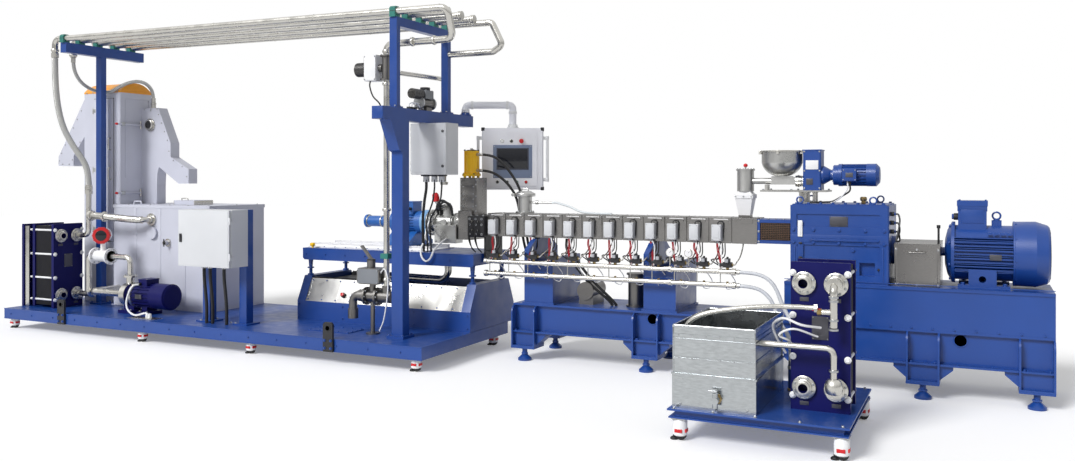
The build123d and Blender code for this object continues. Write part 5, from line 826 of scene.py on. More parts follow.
def dress_table():
    steel, blue, green, red, white, black, yellow, sheet, tray, pipe = kit(
        table_fixings=BLUE, table_trim=BLUE, riser_clamp=GREEN, panel_knob_red=RED,
        panel_knob_white=WHITE_PLASTIC, panel_knob_base=BLACK_PLASTIC, table_knob=YELLOW, splash_edges=STEEL,
        tray_trim=BLACK, drain_trim=PIPE_STEEL)
    steel.bolts(grid(range(-1760, -40, 215), -315, 772), FRONT, 12, 7)
    blue.block(-1799, -24, -317.5, -313, 818, 826, 2)
    steel.sockets(grid(range(-1740, -560, 118), (-232, 232), 833), UP, 6, 5)
    steel.sockets(grid(range(-1740, -560, 118), (-150, 150), 865), UP, 5, 1)
    steel.rounds(grid((-1757, -66), (-255, 255), 575), UP, collar(27, 30, 15, 3), 6)
    steel.rounds(grid((-1757, -66), (-255, 255), range(592, 632, 5)), UP,
                 [(0, 14.2), (1.8, 15.8), (3.6, 14.2)], 18)
    yellow.turned((-1700, -300, 826), UP, [(0, 9), (16, 9), (18, 20), (26, 24), (40, 24), (46, 16)], 24)
    low, high, slope = 360, 555, (0, -0.9, 0.43)
    for x in range(-1700, 220, 320):
        sheet.prism([(-379.5, low + 2), (-288, high - 2), (-285, high - 2), (-376, low + 2)], x, x + 5, 0.6)
    steel.bolts(grid(range(-1690, -110, 150), -372, low + 16), slope, 9, 5)
    steel.bolts(grid(range(-1690, -110, 150), -297, high - 18), slope, 9, 5)
    black.rod((-1312, -352, 424), (-1312, -366, 431), 22, 28, 2)
    red.rod((-1312, -364, 430), (-1312, -382, 438), 17, 24, 4)
    white.rod((-1230, -352, 424), (-1230, -372, 433), 15, 24, 3)
    black.rod((-1230, -348, 422), (-1230, -357, 426), 19, 24, 2)
    green.block(-606, -534, -798, -722, 808, 850, 4, 3)
    steel.bolts(grid((-1780, -1300, -560, -40), -385, (225, 330)), FRONT, 13, 7)
    for x in (-1690, -1242):
        tray.prism([(-285, 566), (-255, 526), (255, 526), (285, 566),
                    (281, 569), (253, 530), (-253, 530), (-281, 569)], x - 2, x + 4, 0.5)
    for x, y in ((-440, -40), (-500, 90)):
        pipe.turned((x, y, 790), UP, collar(24.3, 34, 14), 32)
        pipe.turned((x, y, 680), UP, collar(24.3, 27, 6, 1), 32)


# pelletising skid
def dress_deck():
    blue, steel, black = kit(deck_trim=BLUE, deck_fixings=BLUE, bracket_trim=BLACK)
    for low, high in ((187, 196.5), (96, 104)):
        blue.block(-4800, -8, -1112.5, -1108, low, high, 1)
    steel.bolts(grid(range(-4700, -60, 300), -1110, 146), FRONT, 12, 6)
    for x in (-3963, -866):
        steel.bolts(grid((x - 30, x + 30), -1130, (125, 185)), FRONT, 17, 9)
        black.turned((x, -1128, 282), FRONT, [(-2, 26), (3, 27), (5, 25), (5, 19.2), (-2, 19.2)], 36)
    steel.bolts(grid((-1275, -1180, -1085, -990, -895), (-836, -654), 201), UP, 10, 5)
    steel.bolts(grid((-1275, -895), (-775, -715), 201), UP, 10, 5)
    steel.bolts(grid((-466, -342), (-871, -747), 215), UP, 17, 11)
    steel.bolts(grid((TEE_X - 62, TEE_X + 62), (-532, -424), 211), UP, 15, 10)


def dress_casters():
    body = Batch("caster_bodies", WHITE_PLASTIC, replaced=("casters",))
    wheel, red, steel = kit(caster_wheels=BLACK_RUBBER, caster_screws=RED, caster_plates=ZINC)
    skid = grid((-4730, -2988, -1728, -98), (-1045, 160), 97)
    cart = grid((2224, 3086), (-1923, -1027), 126)
    for x, y, top in (*skid, *cart):
        steel.block(x - 42, x + 42, y - 42, y + 42, top - 5, top, 1)
        steel.rounds(grid((x - 32, x + 32), (y - 32, y + 32), top - 5), DOWN, [(0, 7), (5, 7), (6, 5)], 6)
        body.turned((x, y, 26), UP, [(0, 34), (6, 40), (top - 46, 40), (top - 34, 34), (top - 31, 30)], 40)
        red.block(x - 22, x + 22, y - 41, y - 30, 46, 66, 3)
        red.block(x + 30, x + 41, y - 22, y + 22, 46, 66, 3)
        wheel.turned((x + 6, y - 17, 31), BACK,
                     [(0, 24), (2, 29), (6, 30.5), (28, 30.5), (32, 29), (34, 24)], 36)
        wheel.turned((x - 34, y, 0.5), UP, [(0, 22), (6, 23), (13, 17), (15, 8), (40, 8)], 28)


def pipe_level(x):
    """Height of the overhead pipes, which fall from the tee post to the portal."""
    return 2800 - 40 * (x - TEE_X) / (PORTAL_X - TEE_X)


def dress_gantry():
    blue, steel, black, white, seams = kit(
        gantry_trim=BLUE, gantry_fixings=ZINC, beam_fittings=BLACK_PLASTIC, beam_tubes=WHITE_PLASTIC,
        pipe_seams=PIPE_STEEL)
    for y in (-1118, 251):
        blue.block(-454, -354, y, y + 3, 1909, 2003, 2)
    steel.bolts(grid((-432, -380), (-917, -846, -156, -85), 2017), UP, 12, 7)
    steel.bolts(around("z", (*PANEL_PIVOT, 2019), 44, 60), UP, 9, 6)
    for y in (-640, -600, -560):
        black.block(-452, -420, y - 13, y + 13, 2004, 2032, 3)
        white.tube([(-436, y, 2030), (-436, y + 3, 2052), (-420, y + 20, 2066), (-398, y + 60, 2060),
                    (-396, y + 110, 2020)], 5)
    for x, y, _ in grid((TEE_X, PORTAL_X), PIPE_YS, 0):
        z = pipe_level(x)
        steel.bolts(grid(x, (y - 13.5, y + 13.5), z + 30), UP, 10, 5)
        for middle in (y - 33, y + 33):
            black.block(x - 27, x + 27, middle - 3.5, middle + 3.5, z - 2, z + 2, 0.6)

    def seam(x, y):
        lip = [(-4, PIPE_RADIUS - 1), (-2, PIPE_RADIUS + 2.2), (2, PIPE_RADIUS + 2.2), (4, PIPE_RADIUS - 1)]
        seams.turned((x, y, pipe_level(x)), RIGHT, lip, 32)

    def clamp(x, y, z, axis=RIGHT, radius=PIPE_RADIUS):
        band = [(-13, radius + 1), (-11, radius + 6), (-4, radius + 9), (4, radius + 9),
                (11, radius + 6), (13, radius + 1)]
        seams.turned((x, y, z), axis, band, 36)

    for x, y, _ in grid((-3400, -2300, -1200), PIPE_YS, 0):
        seam(x, y)
    for x, y in ((-4304, -885), (-4266, -715), (8, -885)):
        seam(x, y)
    for y in (-715, -515, -315):
        clamp(-36, y, pipe_level(-36))
        seams.turned((-22, y, pipe_level(-20)), RIGHT, [(0, 28.2), (1, 36), (9, 36), (11, 26)], 32)
    for y in (-515, -315, -120):
        clamp(-4272, y, pipe_level(-4272))
    clamp(-4370, -885, 2692, UP)
    clamp(-4333, -715, 2662, UP)
    for z in (2470, 2210, 1200, 640):
        clamp(*RISER, z, UP, 26)
    for x in (-300, -100):
        clamp(x, -792, 2527)
    seams.turned((-500, 0, 1395), UP, [(0, 20), (1, 33), (24, 33), (26, 20)], 32)


def dress_valves():
    steel, black, white, casing, cable = kit(
        valve_fixings=ZINC, valve_wheels=BLACK_PLASTIC, valve_cases=WHITE_PLASTIC,
        valve_housings=CAST_STEEL, valve_cables=BLACK_RUBBER)
    # upper valve on the riser
    x, y, z = *RISER, 2340
    white.block(x - 188, x - 68, y - 54, y + 54, z - 105, z + 105, 12, 3)
    steel.sockets(grid((x - 176, x - 80), y - 54, (z - 92, z + 92)), FRONT, 5, 4)
    for k in range(9):
        black.turned((x - 186 - k * 10.4, y, z - 6), LEFT, [(0, 53), (1.5, 57.5), (7, 57.5), (8.5, 53)], 36)
    cable.tube([(x - 130, y - 40, z - 105), (x - 132, y - 44, z - 150), (x - 100, y - 44, z - 230),
                (x - 40, y - 30, z - 300), (x - 32, y - 10, z - 420)], 6)
    steel.bolts(around("z", (x, y, z + 101), 44, 90, 45), UP, 10, 7)
    steel.bolts(around("z", (x, y, z - 101), 44, 90, 45), DOWN, 10, 7)
    # valve on the portal beam
    x, y, base = PORTAL_X, -448, 2005
    casing.block(x - 48, x + 48, y - 58, y + 58, base + 98, base + 170, 8, 3)
    black.turned((x, y, base + 168), UP, [(0, 38), (3, 41), (24, 41), (29, 34)], 32)
    black.rounds(grid(x, range(y - 200, y - 56, 24), base + 134), BACK,
                 [(0, 38), (2, 41.5), (18, 41.5), (20, 38)], 36)
    steel.rounds(grid(x, (y - 88, y + 88), base + 66), BACK, [(-9, 40), (-8, 52), (8, 52), (9, 40)], 36)
    steel.sockets(grid((x - 38, x + 38), (y - 46, y + 46), base + 170), UP, 5, 4)
    # lower valve on the riser
    x, y, z = *RISER, 500
    casing.block(x - 248, x - 36, y - 62.5, y + 62.5, z + 102, z + 228, 14, 3)
    steel.sockets(grid((x - 236, x - 48), y - 62, (z + 116, z + 214)), FRONT, 5, 4)
    for flange in (x - 190, x - 80):
        steel.bolts(around("x", (flange + 10, y, z), 60, 45), RIGHT, 11, 7)
        steel.bolts(around("x", (flange - 10, y, z), 60, 45), LEFT, 11, 7)
    black.turned((x - 150, y, z + 288), UP, [(0, 30), (3, 35), (10, 35), (14, 22)], 28)
    white.tube([(x - 40, y - 30, z + 190), (x + 20, y - 60, z + 230), (x + 60, y - 70, z + 160),
                (x + 50, y - 60, z + 20), (x + 10, y - 50, 330), (x - 40, y - 40, 230)], 6)


def dress_boxes():
    steel, grey, black, cable = kit(
        box_fixings=ZINC, box_trim=GREY, box_glands=BLACK_PLASTIC, box_cables=BLACK_RUBBER)
    # control box on the gantry
    x0, x1, y, z0, z1 = -531, -193, -475, 1482, 1907
    grey.block(x0 + 14, x1 - 14, y - 2.5, y + 1, z0 + 16, z1 - 16, 2)
    for z in (z0 + 70, z1 - 70):
        black.peg((x1 - 26, y, z), FRONT, 9, 11, 24, 2)
        steel.block(x1 - 28, x1 - 24, y - 11, y - 8, z - 7, z + 7, 0.6)
        steel.pegs(grid(x0 - 2, y + 8, (z - 40, z + 12)), UP, 28, 5, 14)
    gland = [(0, 23), (2, 28), (18, 28), (20, 25), (44, 25), (46, 30), (59, 30)]
    for shift, radius in ((0, 12), (80, 7), (150, 7)):
        x = x0 + 90 + shift
        reach = shift * 0.5
        black.turned((x, -375, z0 - 60), UP, gland, 6)
        black.block(x - 34, x + 34, -408, -342, z0 - 12, z0 - 1, 3)
        cable.tube([(x, -375, z0 - 50), (x - 2, -374, z0 - 120), (x - 30, -360, z0 - 230),
                    (x - 70 - reach, -320, z0 - 380), (x - 96 - reach, -276, 950),
                    (x - 100 - reach, -262, 880), (x - 100 - reach, -262, 830)], radius, 10)
    # white cabinet on the skid
    door, lock = kit("cabinet_door", cabinet_door_trim=GREY, cabinet_lock=BLACK_PLASTIC)
    x0, x1, y0, z0, z1 = -2507, -1923, -1091, 700, 1182
    door.block(x0 + 10, x1 - 16, y0 - 2.5, y0 + 1, z0 + 10, z1 - 10, 2)
    lock.block(x0 + 20, x0 + 46, y0 - 11, y0 - 2, 905, 977, 5, 3)
    lock.peg((x0 + 33, y0 - 10, 958), FRONT, 6, 8, 20, 1.5)
    black.rounds(grid(CONDUIT_XS, CONDUIT_Y, 677), UP, [(0, 18), (2, 23), (10, 23), (12, 25), (23, 25)], 6)
    grey.block(x0 - 1.5, x1 + 1.5, y0 + 26, -876, z1 - 3, z1 + 2, 1.5)
    steel.bolts(grid((-2429, -2377, -2085, -2033), (-905, -772), 207), UP, 14, 9)


def on_panel_arm(reach):
    """x and y of a point on the panel arm, measured from its pivot."""
    x, y = PANEL_PIVOT
    return x + reach * cos(radians(PANEL_TURN)), y + reach * sin(radians(PANEL_TURN))


def dress_panel():
    body = "operator_panel"
    turn = Matrix.Rotation(radians(PANEL_TURN), 4, "Z")
    turn = Matrix.Translation((*on_panel_arm(PANEL_ARM_LENGTH), 1894)) @ turn
    bezel, screen, lip, case, corner, grips, feet, chrome, white, red, green, screws, arm = kit(
        body, turn, panel_bezel=BEZEL, panel_screen=SCREEN, panel_screen_edge=BEZEL_DARK,
        panel_case_trim=PANEL_WHITE, panel_corners=BLACK_PLASTIC, panel_grips=WHITE_PLASTIC,
        panel_grip_feet=WHITE_PLASTIC, panel_button_rings=PIPE_STEEL, panel_buttons_white=WHITE_PLASTIC,
        panel_buttons_red=RED, panel_buttons_green=GREEN, panel_screws=ZINC, panel_arm_collars=WHITE_PLASTIC)
    front = -65
    bezel.block(-172, 172, front - 9.5, front - 2, -440, -148, 6, 3)
    screen.block(-132, 132, front - 11, front - 8, -356, -184, 3)
    for x0, x1, z0, z1 in ((-142, 142, -184, -174), (-142, 142, -366, -356), (-142, -132, -366, -174),
                           (132, 142, -366, -174)):
        lip.block(x0, x1, front - 12.5, front - 8, z0, z1, 2)
    case.block(-263, 263, front - 2.5, front + 6, -533, -7, 6, 3)
    case.block(-272, 272, front + 8, front + 14, -542, 2, 3)
    for x, y, z in grid((-262, 262), front, (-8, -532)):
        corner.block(x - 16, x + 16, y - 4, 44, z - 16, z + 16, 7, 3)
    for x, low, high in ((-306, -306, -268), (306, 268, 306)):
        grips.peg((x, front + 30, -462), UP, 384, 13, 24, 3)
        for z in (-86, -454):
            feet.block(low, high, front + 18, front + 42, z - 15, z + 15, 5, 3)
            feet.peg((x, front + 30, z - 18), UP, 36, 15, 24, 3)
    for x, z, cap in ((-92, -114, white), (-10, -114, corner), (78, -114, red), (-134, -474, corner),
                      (-49, -474, corner), (36, -474, green), (118, -474, red)):
        chrome.turned((x, front - 2, z), FRONT, [(0, 16), (3, 17), (7, 15), (8, 13)], 32)
        cap.turned((x, front - 8, z), FRONT, [(0, 12), (6, 12.5), (9, 10)], 28)
    red.turned((78, front - 14, -114), FRONT, [(0, 11), (6, 12), (8, 19), (14, 20), (18, 15)], 32)
    screws.sockets(grid((-160, 160), front - 9, (-160, -428)), FRONT, 5, 3)
    arm.turned((0, 0, 0), UP, [(0, 46), (2, 52), (12, 52), (14, 44), (34, 42), (38, 34)], 40)
    screws.bolts(around("z", (0, 0, 13), 43.86, 90, 45), UP, 8, 4)
    sleeve = Batch("panel_arm_sleeves", WHITE_PLASTIC, body)
    sleeve.rounds(grid(*PANEL_PIVOT, (2037, 2052)), UP, collar(32, 37, 14), 36)
    ahead = (cos(radians(PANEL_TURN)), sin(radians(PANEL_TURN)), 0)
    for reach in (48, 360):
        sleeve.turned((*on_panel_arm(reach), 2102), ahead, collar(32, 37, 24), 36)
    sleeve.turned((*on_panel_arm(PANEL_ARM_LENGTH), 2024), UP, collar(32, 37, 24), 36)


def along(line, y, spacing, shift=0):
    """Even places on a line of (x, z) corners, moved sideways and up by the shift."""
    for (xa, za), (xb, zb) in zip(line, line[1:]):
        count = max(1, int(hypot(xb - xa, zb - za) // spacing))
        for k in range(count):
            share = (k + 0.5) / count
            yield xa + (xb - xa) * share + shift, y, za + (zb - za) * share + shift


def dress_dryer():
    steel, grey, dark, orange, red, bright = kit(
        dryer_fixings=ZINC, dryer_trim=TANK_GREY, dryer_seals=BLACK_RUBBER, dryer_cap_trim=ORANGE,
        latch_tips=RED, dryer_bright=PIPE_STEEL)
    x0, x1, y0, y1, eaves = -4608, -4079, -375, 8, 2336
    orange.block(x0 - 2, x1 + 2, y0 - 2.5, y0 + 3, eaves - 17, eaves + 1, 2)
    orange.block(x1 - 1, x1 + 2.5, y0, y1, eaves - 17, eaves, 2)
    arch = [(y0 + 6 + 371 * k / 12, eaves + 336 * k / 12 * (1 - k / 12)) for k in range(13)]
    for x in (x1 - 3, x0 - 1):
        orange.prism(arch, x, x + 4, 1)
    orange.prism([(y * 0.86 - 25.7, (z - eaves) * 0.8 + 2340) for y, z in arch], x1 + 0.6, x1 + 3.4, 1)
    steel.bolts(grid(range(x0 + 40, x1, 90), y0 - 2, 2328), FRONT, 10, 5)
    door0, door1, low, high = x0 + 150, x1 - 96, 815, 2260
    for a, b, c, d in ((door0 - 5, door0, low - 5, high + 5), (door1, door1 + 5, low - 5, high + 5),
                       (door0, door1, low - 5, low), (door0, door1, high, high + 5)):
        dark.block(a, b, y0 - 2.5, y0 + 1, c, d, 0.6)
    grey.block(door0 + 16, door1 - 16, y0 - 14.5, y0 - 10, low + 16, high - 16, 3)
    for z in (low + 120, (low + high) / 2, high - 120):
        bright.peg((door0 - 7, y0 - 9, z - 34), UP, 68, 7, 18, 1)
        steel.block(door0 - 4, door0 + 34, y0 - 15, y0 - 12, z - 20, z + 20, 1.5)
    for z in (1500, 1800):
        handle = ((-12, -60), (-40, -54), (-46, -30), (-46, 30), (-40, 54), (-12, 60))
        bright.tube([(door1 - 26, y0 + out, z + up) for out, up in handle], 7)
    grey.block(x1 - 60, x1 - 6, y0 - 3, y0 + 1, 520, 2290, 2)
    for z in (1304, 1999):
        red.turned((x1 + 14, y0 - 48, z), FRONT, [(-2, 10), (0, 12), (18, 12), (24, 6)], 20)
        steel.block(x1 + 4, x1 + 24, y0 + 2, y0 + 42, z - 17, z + 17, 3)
        bright.peg((x1 + 14, y0 + 235, z - 40), UP, 80, 8, 18, 1)
    for y in (y0 + 62, y1 - 40):
        grey.block(x1 - 9, x1 - 5, y, y + 8, 1460, 2250, 2)
    steel.bolts(grid((x1 + 30, x1 + 120, x1 + 210), -105, 2160), FRONT, 10, 5)
    chute = [(-4040, 2160), (-3856, 2160), (-3690, 1806), (-3690, 1674), (-3444, 1551), (-3444, 1412)]
    steel.bolts(along(chute, -105, 95, -12), FRONT, 10, 5)
    bright.turned((-3964, -104, 2000), FRONT,
                  [(0, 40), (0, 66), (10, 66), (12, 52), (32, 52), (34, 48), (34, 40)], 40, True)
    dark.turned((-3964, -106, 2000), FRONT, [(0, 46), (31, 46)], 32)
    steel.bolts(around("y", (-3964, -114, 2000), 59, 45), FRONT, 7, 4)
    bright.turned((-3988, -45, 2172), UP,
                  [(0, 36), (2, 38), (8, 38), (10, 24), (40, 24), (44, 27), (60, 27)], 36)
    outlet = [(-4640, 2290), (-5070, 1672), (-5070, 1600), (-4870, 1600), (-4870, 1690), (-4715, 1876)]
    steel.bolts(along(outlet, -315, 100), FRONT, 10, 5)
    for x in (-3872, -4072):
        grey.block(x - 3, x + 3, -107, 6, 1196, 1386, 1.5)
    for z in (260, 420, 600):
        grey.block(x0 + 40, x0 + 130, y0 - 3, y0 + 1, z, z + 12, 2)


def dress_tank():
    grey, steel, bright, dark = kit(
        tank_trim=TANK_GREY, tank_fixings=ZINC, tank_bright=PIPE_STEEL, tank_seals=BLACK_RUBBER)
    x0, x1, y0, y1 = -4060, -2767, -480, 255
    grey.block(x0 - 1, x1 + 1, y0 - 2.5, y0 + 2, 1160, 1179.5, 2)
    grey.block(x1 - 2, x1 + 2.5, y0, y1, 1160, 1179.5, 2)
    for x in (x0 + 318, x0 + 646, x0 + 970):
        grey.block(x - 18, x + 18, y0 - 3, y0 + 1, 210, 1158, 2.5)
    for x in (x0 + 640, x0 + 910):
        bright.block(x - 3, x + 3, -302, -58, 1190, 1233, 2)
    dark.block(x0 + 636, x0 + 914, -304, -56, 1190.5, 1193, 0.6)
    steel.pegs(grid((x0 + 668, x0 + 838), -56, 1226), RIGHT, 44, 8, 18, 1)
    bright.tube([(x0 + 735, -285, 1235), (x0 + 735, -290, 1252), (x0 + 745, -292, 1256),
                 (x0 + 805, -292, 1256), (x0 + 815, -290, 1252), (x0 + 815, -285, 1235)], 5)
    steel.bolts(grid((x0 + 30, x0 + 200, x0 + 500, x0 + 760, x0 + 1000, x1 - 30), y0 + 20, 1192), UP, 11, 6)
    steel.bolts(grid(x1 - 30, (-100, 180), 1192), UP, 11, 6)
    bright.turned((-3300, y0, 835), FRONT, [(0, 34), (2, 38), (8, 38), (10, 22), (50, 22)], 32)
    dark.block(-3306, -3294, -536, -528, 800, 872, 3)
    bright.turned((-3520, y0, 1052), FRONT, [(0, 54), (2, 60), (14, 60), (16, 40), (40, 38)], 40)
    bright.tube([(-4140, -687, 1088), (-4000, -687, 1086), (-3906, -682, 1080), (-3760, -650, 1068),
                 (-3620, -600, 1054), (-3540, -576, 1052)], 34, 28, 5)
    bright.rounds([(-4104, -687, 1088), (-3923, -684, 1081)], RIGHT,
                  [(-14, 35), (-12, 44), (-4, 50), (4, 50), (12, 44), (14, 35)], 32)
    steel.bolts(around("y", (-3520, -494, 1052), 42, 60), FRONT, 8, 5)


def dress_pump():
    navy, bright, steel, black, plate, pale = kit(
        pump_trim=NAVY, pump_bright=PIPE_STEEL, pump_fixings=ZINC, pump_seals=BLACK_RUBBER,
        pump_plate=PLATE, pump_cable=WHITE_PLASTIC)
    x, y, z = -3476, -764, 364
    for _, a, b in around("x", (0, 0, 0), 1, 45, 20):
        steel.bolt((x - 38, y + 84 * a, z + 92 * b), LEFT, 11, 7)
    steel.bolts(around("z", (x, y, z + 176), 48, 45, 20), UP, 12, 8)
    steel.bolts(around("x", (x + 100, y, z), 104, 45, 20), LEFT, 12, 8)
    casing = [(0, 69), (1, 72), (26, 108), (90, 108), (104, 72), (105, 72), (156, 73), (158, 100),
              (162, 120), (188, 120), (192, 112), (194, 100)]
    bright.turned((x - 62, y, z), RIGHT, casing, 56)
    bright.turned((x, y, z + 62), UP, [(0, 36), (96, 36), (98, 63), (112, 64), (115, 61)], 40)
    x0, x1 = -3349, -3122
    navy.block(x0 + 56, x1 - 56, y - 74, y + 74, z + 144, z + 156, 4, 3)
    steel.sockets(grid((x0 + 66, x1 - 66), (y - 62, y + 62), z + 156), UP, 5, 4)
    black.peg((x0 + 90, y - 70, z + 112), FRONT, 26, 14, 6, 1)
    pale.tube([(x0 + 90, y - 94, z + 112), (x0 + 60, y - 140, z + 92), (x0 + 40, y - 180, z - 10),
               (x0 + 76, y - 206, 262), (x0 + 180, y - 214, 214), (x0 + 292, y - 196, 236),
               (x0 + 322, y - 190, 222)], 9, 12)
    pale.rounds(grid((x0 + 312, x0 + 344), y - 190, 195), UP, [(0, 15), (4, 17), (34, 15), (40, 10)], 20)
    bright.block(x0 + 130, x0 + 470, y - 260, y - 150, 194.5, 197, 0.8)
    plate.block(x0 + 70, x0 + 150, y - 119.5, y - 115, z - 20, z + 22, 1)
    navy.turned((-2948, y, z), RIGHT, [(0, 117), (2, 119), (6, 119), (14, 104)], 48)
    steel.bolts(grid((x - 40, x + 90), (y - 74, y + 74), 225), UP, 15, 9)
    steel.bolts(grid((x0 + 84, x0 + 170), (y - 74, y + 74), 221), UP, 15, 9)
    # flow meter above the pump, its head turned about the upright
    ring, glass = kit(meter_ring=RED, meter_face=SCREEN)
    white = Batch("meter_case", WHITE_PLASTIC, replaced=("flow_meter",))
    x, z = -3846, 708
    white.peg((x - 110, y, z), RIGHT, 220, 54, 48, 1)
    white.pegs(grid((x - 110, x + 92), y, z), RIGHT, 18, 78, 48, 1.5)
    white.turned((x, y, z + 40), UP, [(0, 34), (16, 30), (22, 24), (96, 24), (104, 32), (112, 32)], 32)
    axis = Vector((cos(radians(METER_TURN)), sin(radians(METER_TURN)), 0))
    centre = Vector((x, y, z + 200))
    white.turned(centre - axis * 75, axis, [(0, 52), (5, 62), (12, 66), (140, 66), (142, 64)], 48)
    ring.turned(centre + axis * 40, axis, [(0, 66), (1, 76), (5, 78), (42, 78), (47, 74), (49, 60)], 48)
    for _, a, b in around("x", (0, 0, 0), 1, 36):
        rim = centre + axis * 43 + Vector((-axis.y * a, axis.x * a, b)) * 79
        ring.peg(rim, axis, 40, 4, 8, 1)
    glass.turned(centre + axis * 87, axis, [(0, 50), (3, 50), (4.5, 47)], 40)
    for shift, side in ((-92, RIGHT), (110, RIGHT), (-110, LEFT), (92, LEFT)):
        steel.bolts(around("x", (x + shift, y, z), 66, 45, 22.5), side, 10, 6)


# plate heat exchangers and the cooling cart
def dress_exchanger(name, turn, depth, end_half):
    looks = {"plates": BLACK, "gaskets": BLACK_RUBBER, "bolts": ZINC, "tie_rods": PIPE_STEEL,
             "discs": WHITE_PLASTIC, "edges": NAVY, "plate": PLATE}
    plates, dark, bolts, bright, white, navy, label = kit(
        turn=turn, **{f"{name}_{kind}": look for kind, look in looks.items()})
    width, height, plate = 315, 815, 32
    pack = depth * 0.52
    for k in range(int(pack // 7)):
        y = plate + 3 + k * 7
        plates.block(11.5, width - 11.5, y, y + 2.6, 28, height - 18, 0.6, 1)
        dark.block(13, width - 13, y + 3.4, y + 5.6, 29, height - 19, 0.5, 1)
    back = plate * 2 + pack
    for x, z in product((12, width - 12), (80, height * 0.36, height * 0.64, height - 60)):
        white.turned((x, -1, z), FRONT, [(0, 17), (3, 19), (8, 19), (10, 14)], 24)
        white.turned((x, -10, z), FRONT, [(0, 13), (10, 13), (13, 9)], 6)
        bolts.turned((x, back, z), BACK, [(0, 15), (14, 15), (16, 12)], 6)
        white.peg((x, plate, z), BACK, pack, 9.8, 20, 0)
        white.peg((x, back + 16, z), BACK, 22, 9.8, 20, 1)
    middle = width / 2
    for x, z in product((middle - 85, middle + 85), (127, 699)):
        bright.turned((x, 0, z), FRONT, [(0, 64), (18, 64), (20, 61), (20, 37)], 44, True)
        bright.turned((x, -18, z), FRONT, [(0, 37), (0, 43), (9, 46), (20, 46), (22, 43), (22, 37)], 40, True)
        bolts.bolts(around("y", (x, -20, z), 54, 45, 22.5), FRONT, 11, 7)
        bright.turned((x, -47, z), FRONT, [(0, 38), (1, 38.5), (2.6, 36), (2.6, 26), (0, 25.4)], 36, True)
        label.block(x - 24, x + 24, -3, 0.5, z - 100, z - 78, 0.8)
    label.block(middle - 44, middle + 44, -3.5, 0.5, 392, 520, 1)
    bolts.sockets(grid((middle - 38, middle + 38), -3, (398, 514)), FRONT, 3, 2.5)
    for x in (-0.8, width - 6):
        navy.block(x, x + 6.8, -1.5, 4, 2, height - 2, 1.5)
    if depth - back > 120:
        for x in (6, width - 18):
            bright.block(x, x + 12, back + 62, back + 118, 4, height - 26, 1.5)
    navy.block(middle - end_half - 1, middle + end_half + 1, depth - 3, depth + 0.2, 6, height - 12, 1.5)


def dress_exchangers():
    place = Matrix.Translation((-4330, -930, 195)) @ Matrix.Rotation(radians(90), 4, "Z")
    dress_exchanger("skid_exchanger", place, 466, 157)
    dress_exchanger("cart_exchanger", Matrix.Translation((2782, -1675, 178)), 330, 26)


def dress_cart():
    steel, sheet, brass, red, white, bright, blue = kit(
        cart_fixings=ZINC, cart_tank_edges=GALVANISED, cart_brass=BRASS, cart_handles=RED,
        cart_fittings=WHITE_PLASTIC, cart_bright=PIPE_STEEL, cart_trim=BLUE)
    x0, x1, y0, y1, brim = 2185, 2637, -1916, -1182, 634
    steel.sockets(grid(range(x0 + 30, x0 + 498, 78), y0 - 5, (455, 582)), FRONT, 4, 3)
    for x, y in product((x0 - 5.5, x1 - 1), (y0 - 5.5, y1 - 1)):
        sheet.block(x, x + 6.5, y, y + 6.5, 372, brim, 1)
    for low, high, out in ((362, 372, 13), (452, 457, 6), (560, 565, 6)):
        sheet.block(x0 - out, x1 + out, y0 - out, y0 + 2, low, high, 2)
        sheet.block(x1 - 2, x1 + out, y0 - 2, y1 + out, low, high, 2)
    for y in (y0, y1):
        sheet.tube([(x0 + 2, y, brim), (x1 - 2, y, brim)], 6, 12, 2)
    for x in (x0, x1):
        sheet.tube([(x, y0 + 2, brim), (x, y1 - 2, brim)], 6, 12, 2)
    outlet = x0 + (x1 - x0) * 0.55
    brass.turned((outlet, y0 - 8, 248), FRONT, [(0, 28), (10, 28), (12, 21), (40, 21)], 6)
    steel.block(outlet - 40, outlet + 10, y0 - 60, y0 - 46, 292, 302, 3)
    steel.bolts(grid((x0 + 40, x1 - 40), y0 - 8, 200), FRONT, 10, 6)
    steel.bolts(grid((2200, 2420, 2648, 2880, 3095), (-1960, -990), 178), UP, 13, 8)
    blue.block(2163, 3132, -1976, -1972, 168, 179, 1)
    right_x, face = 3024.5, -1783
    bright.rounds(grid(right_x, face + 34, (305, 877)), FRONT, [(0, 37), (2, 43), (16, 43), (18, 31)], 32)
    bright.turned((right_x, face, 330), UP,
                  [(-30, 24), (-24, 36), (-6, 44), (20, 46), (44, 38), (54, 26)], 36)
    bright.tube([(2940, face, 757), (2900, face, 757), (2790, face - 10, 757), (2640, face - 34, 750),
                 (2470, face - 62, 728), (2330, face - 80, 694), (2252, face - 84, 640),
                 (2226, face - 84, 560), (2222, face - 84, 480)], 14, 20, 5)
    bright.turned((2946, face, 757), LEFT, [(0, 18), (2, 24), (20, 24), (22, 16)], 6)
    white.tube([(2946, -1700, 640), (2860, -1790, 662), (2760, -1770, 690), (2690, -1700, 640),
                (2700, -1650, 560), (2740, -1600, 470)], 7, 12)
    white.tube([(2930, -1700, 590), (2820, -1800, 640), (2740, -1790, 600), (2790, -1740, 560),
                (2770, -1640, 500)], 6, 12)
    red.block(right_x - 112, right_x - 66, face - 8, face + 8, 742, 756, 4)
    brass.peg((right_x - 60, face, 737), LEFT, 24, 19, 6, 1)
    steel.rounds(grid(right_x, face, (420, 640, 690, 792, 812)), UP, collar(19, 26, 14), 28)
    brass.rounds(grid(WATER_PORT_XS, WATER_PORT_Y, 178), UP, [(0, 22), (12, 22), (14, 18)], 6)
    steel.rounds(grid(WATER_PORT_XS, WATER_PORT_Y, 306), UP, collar(17.5, 20, 20), 28)


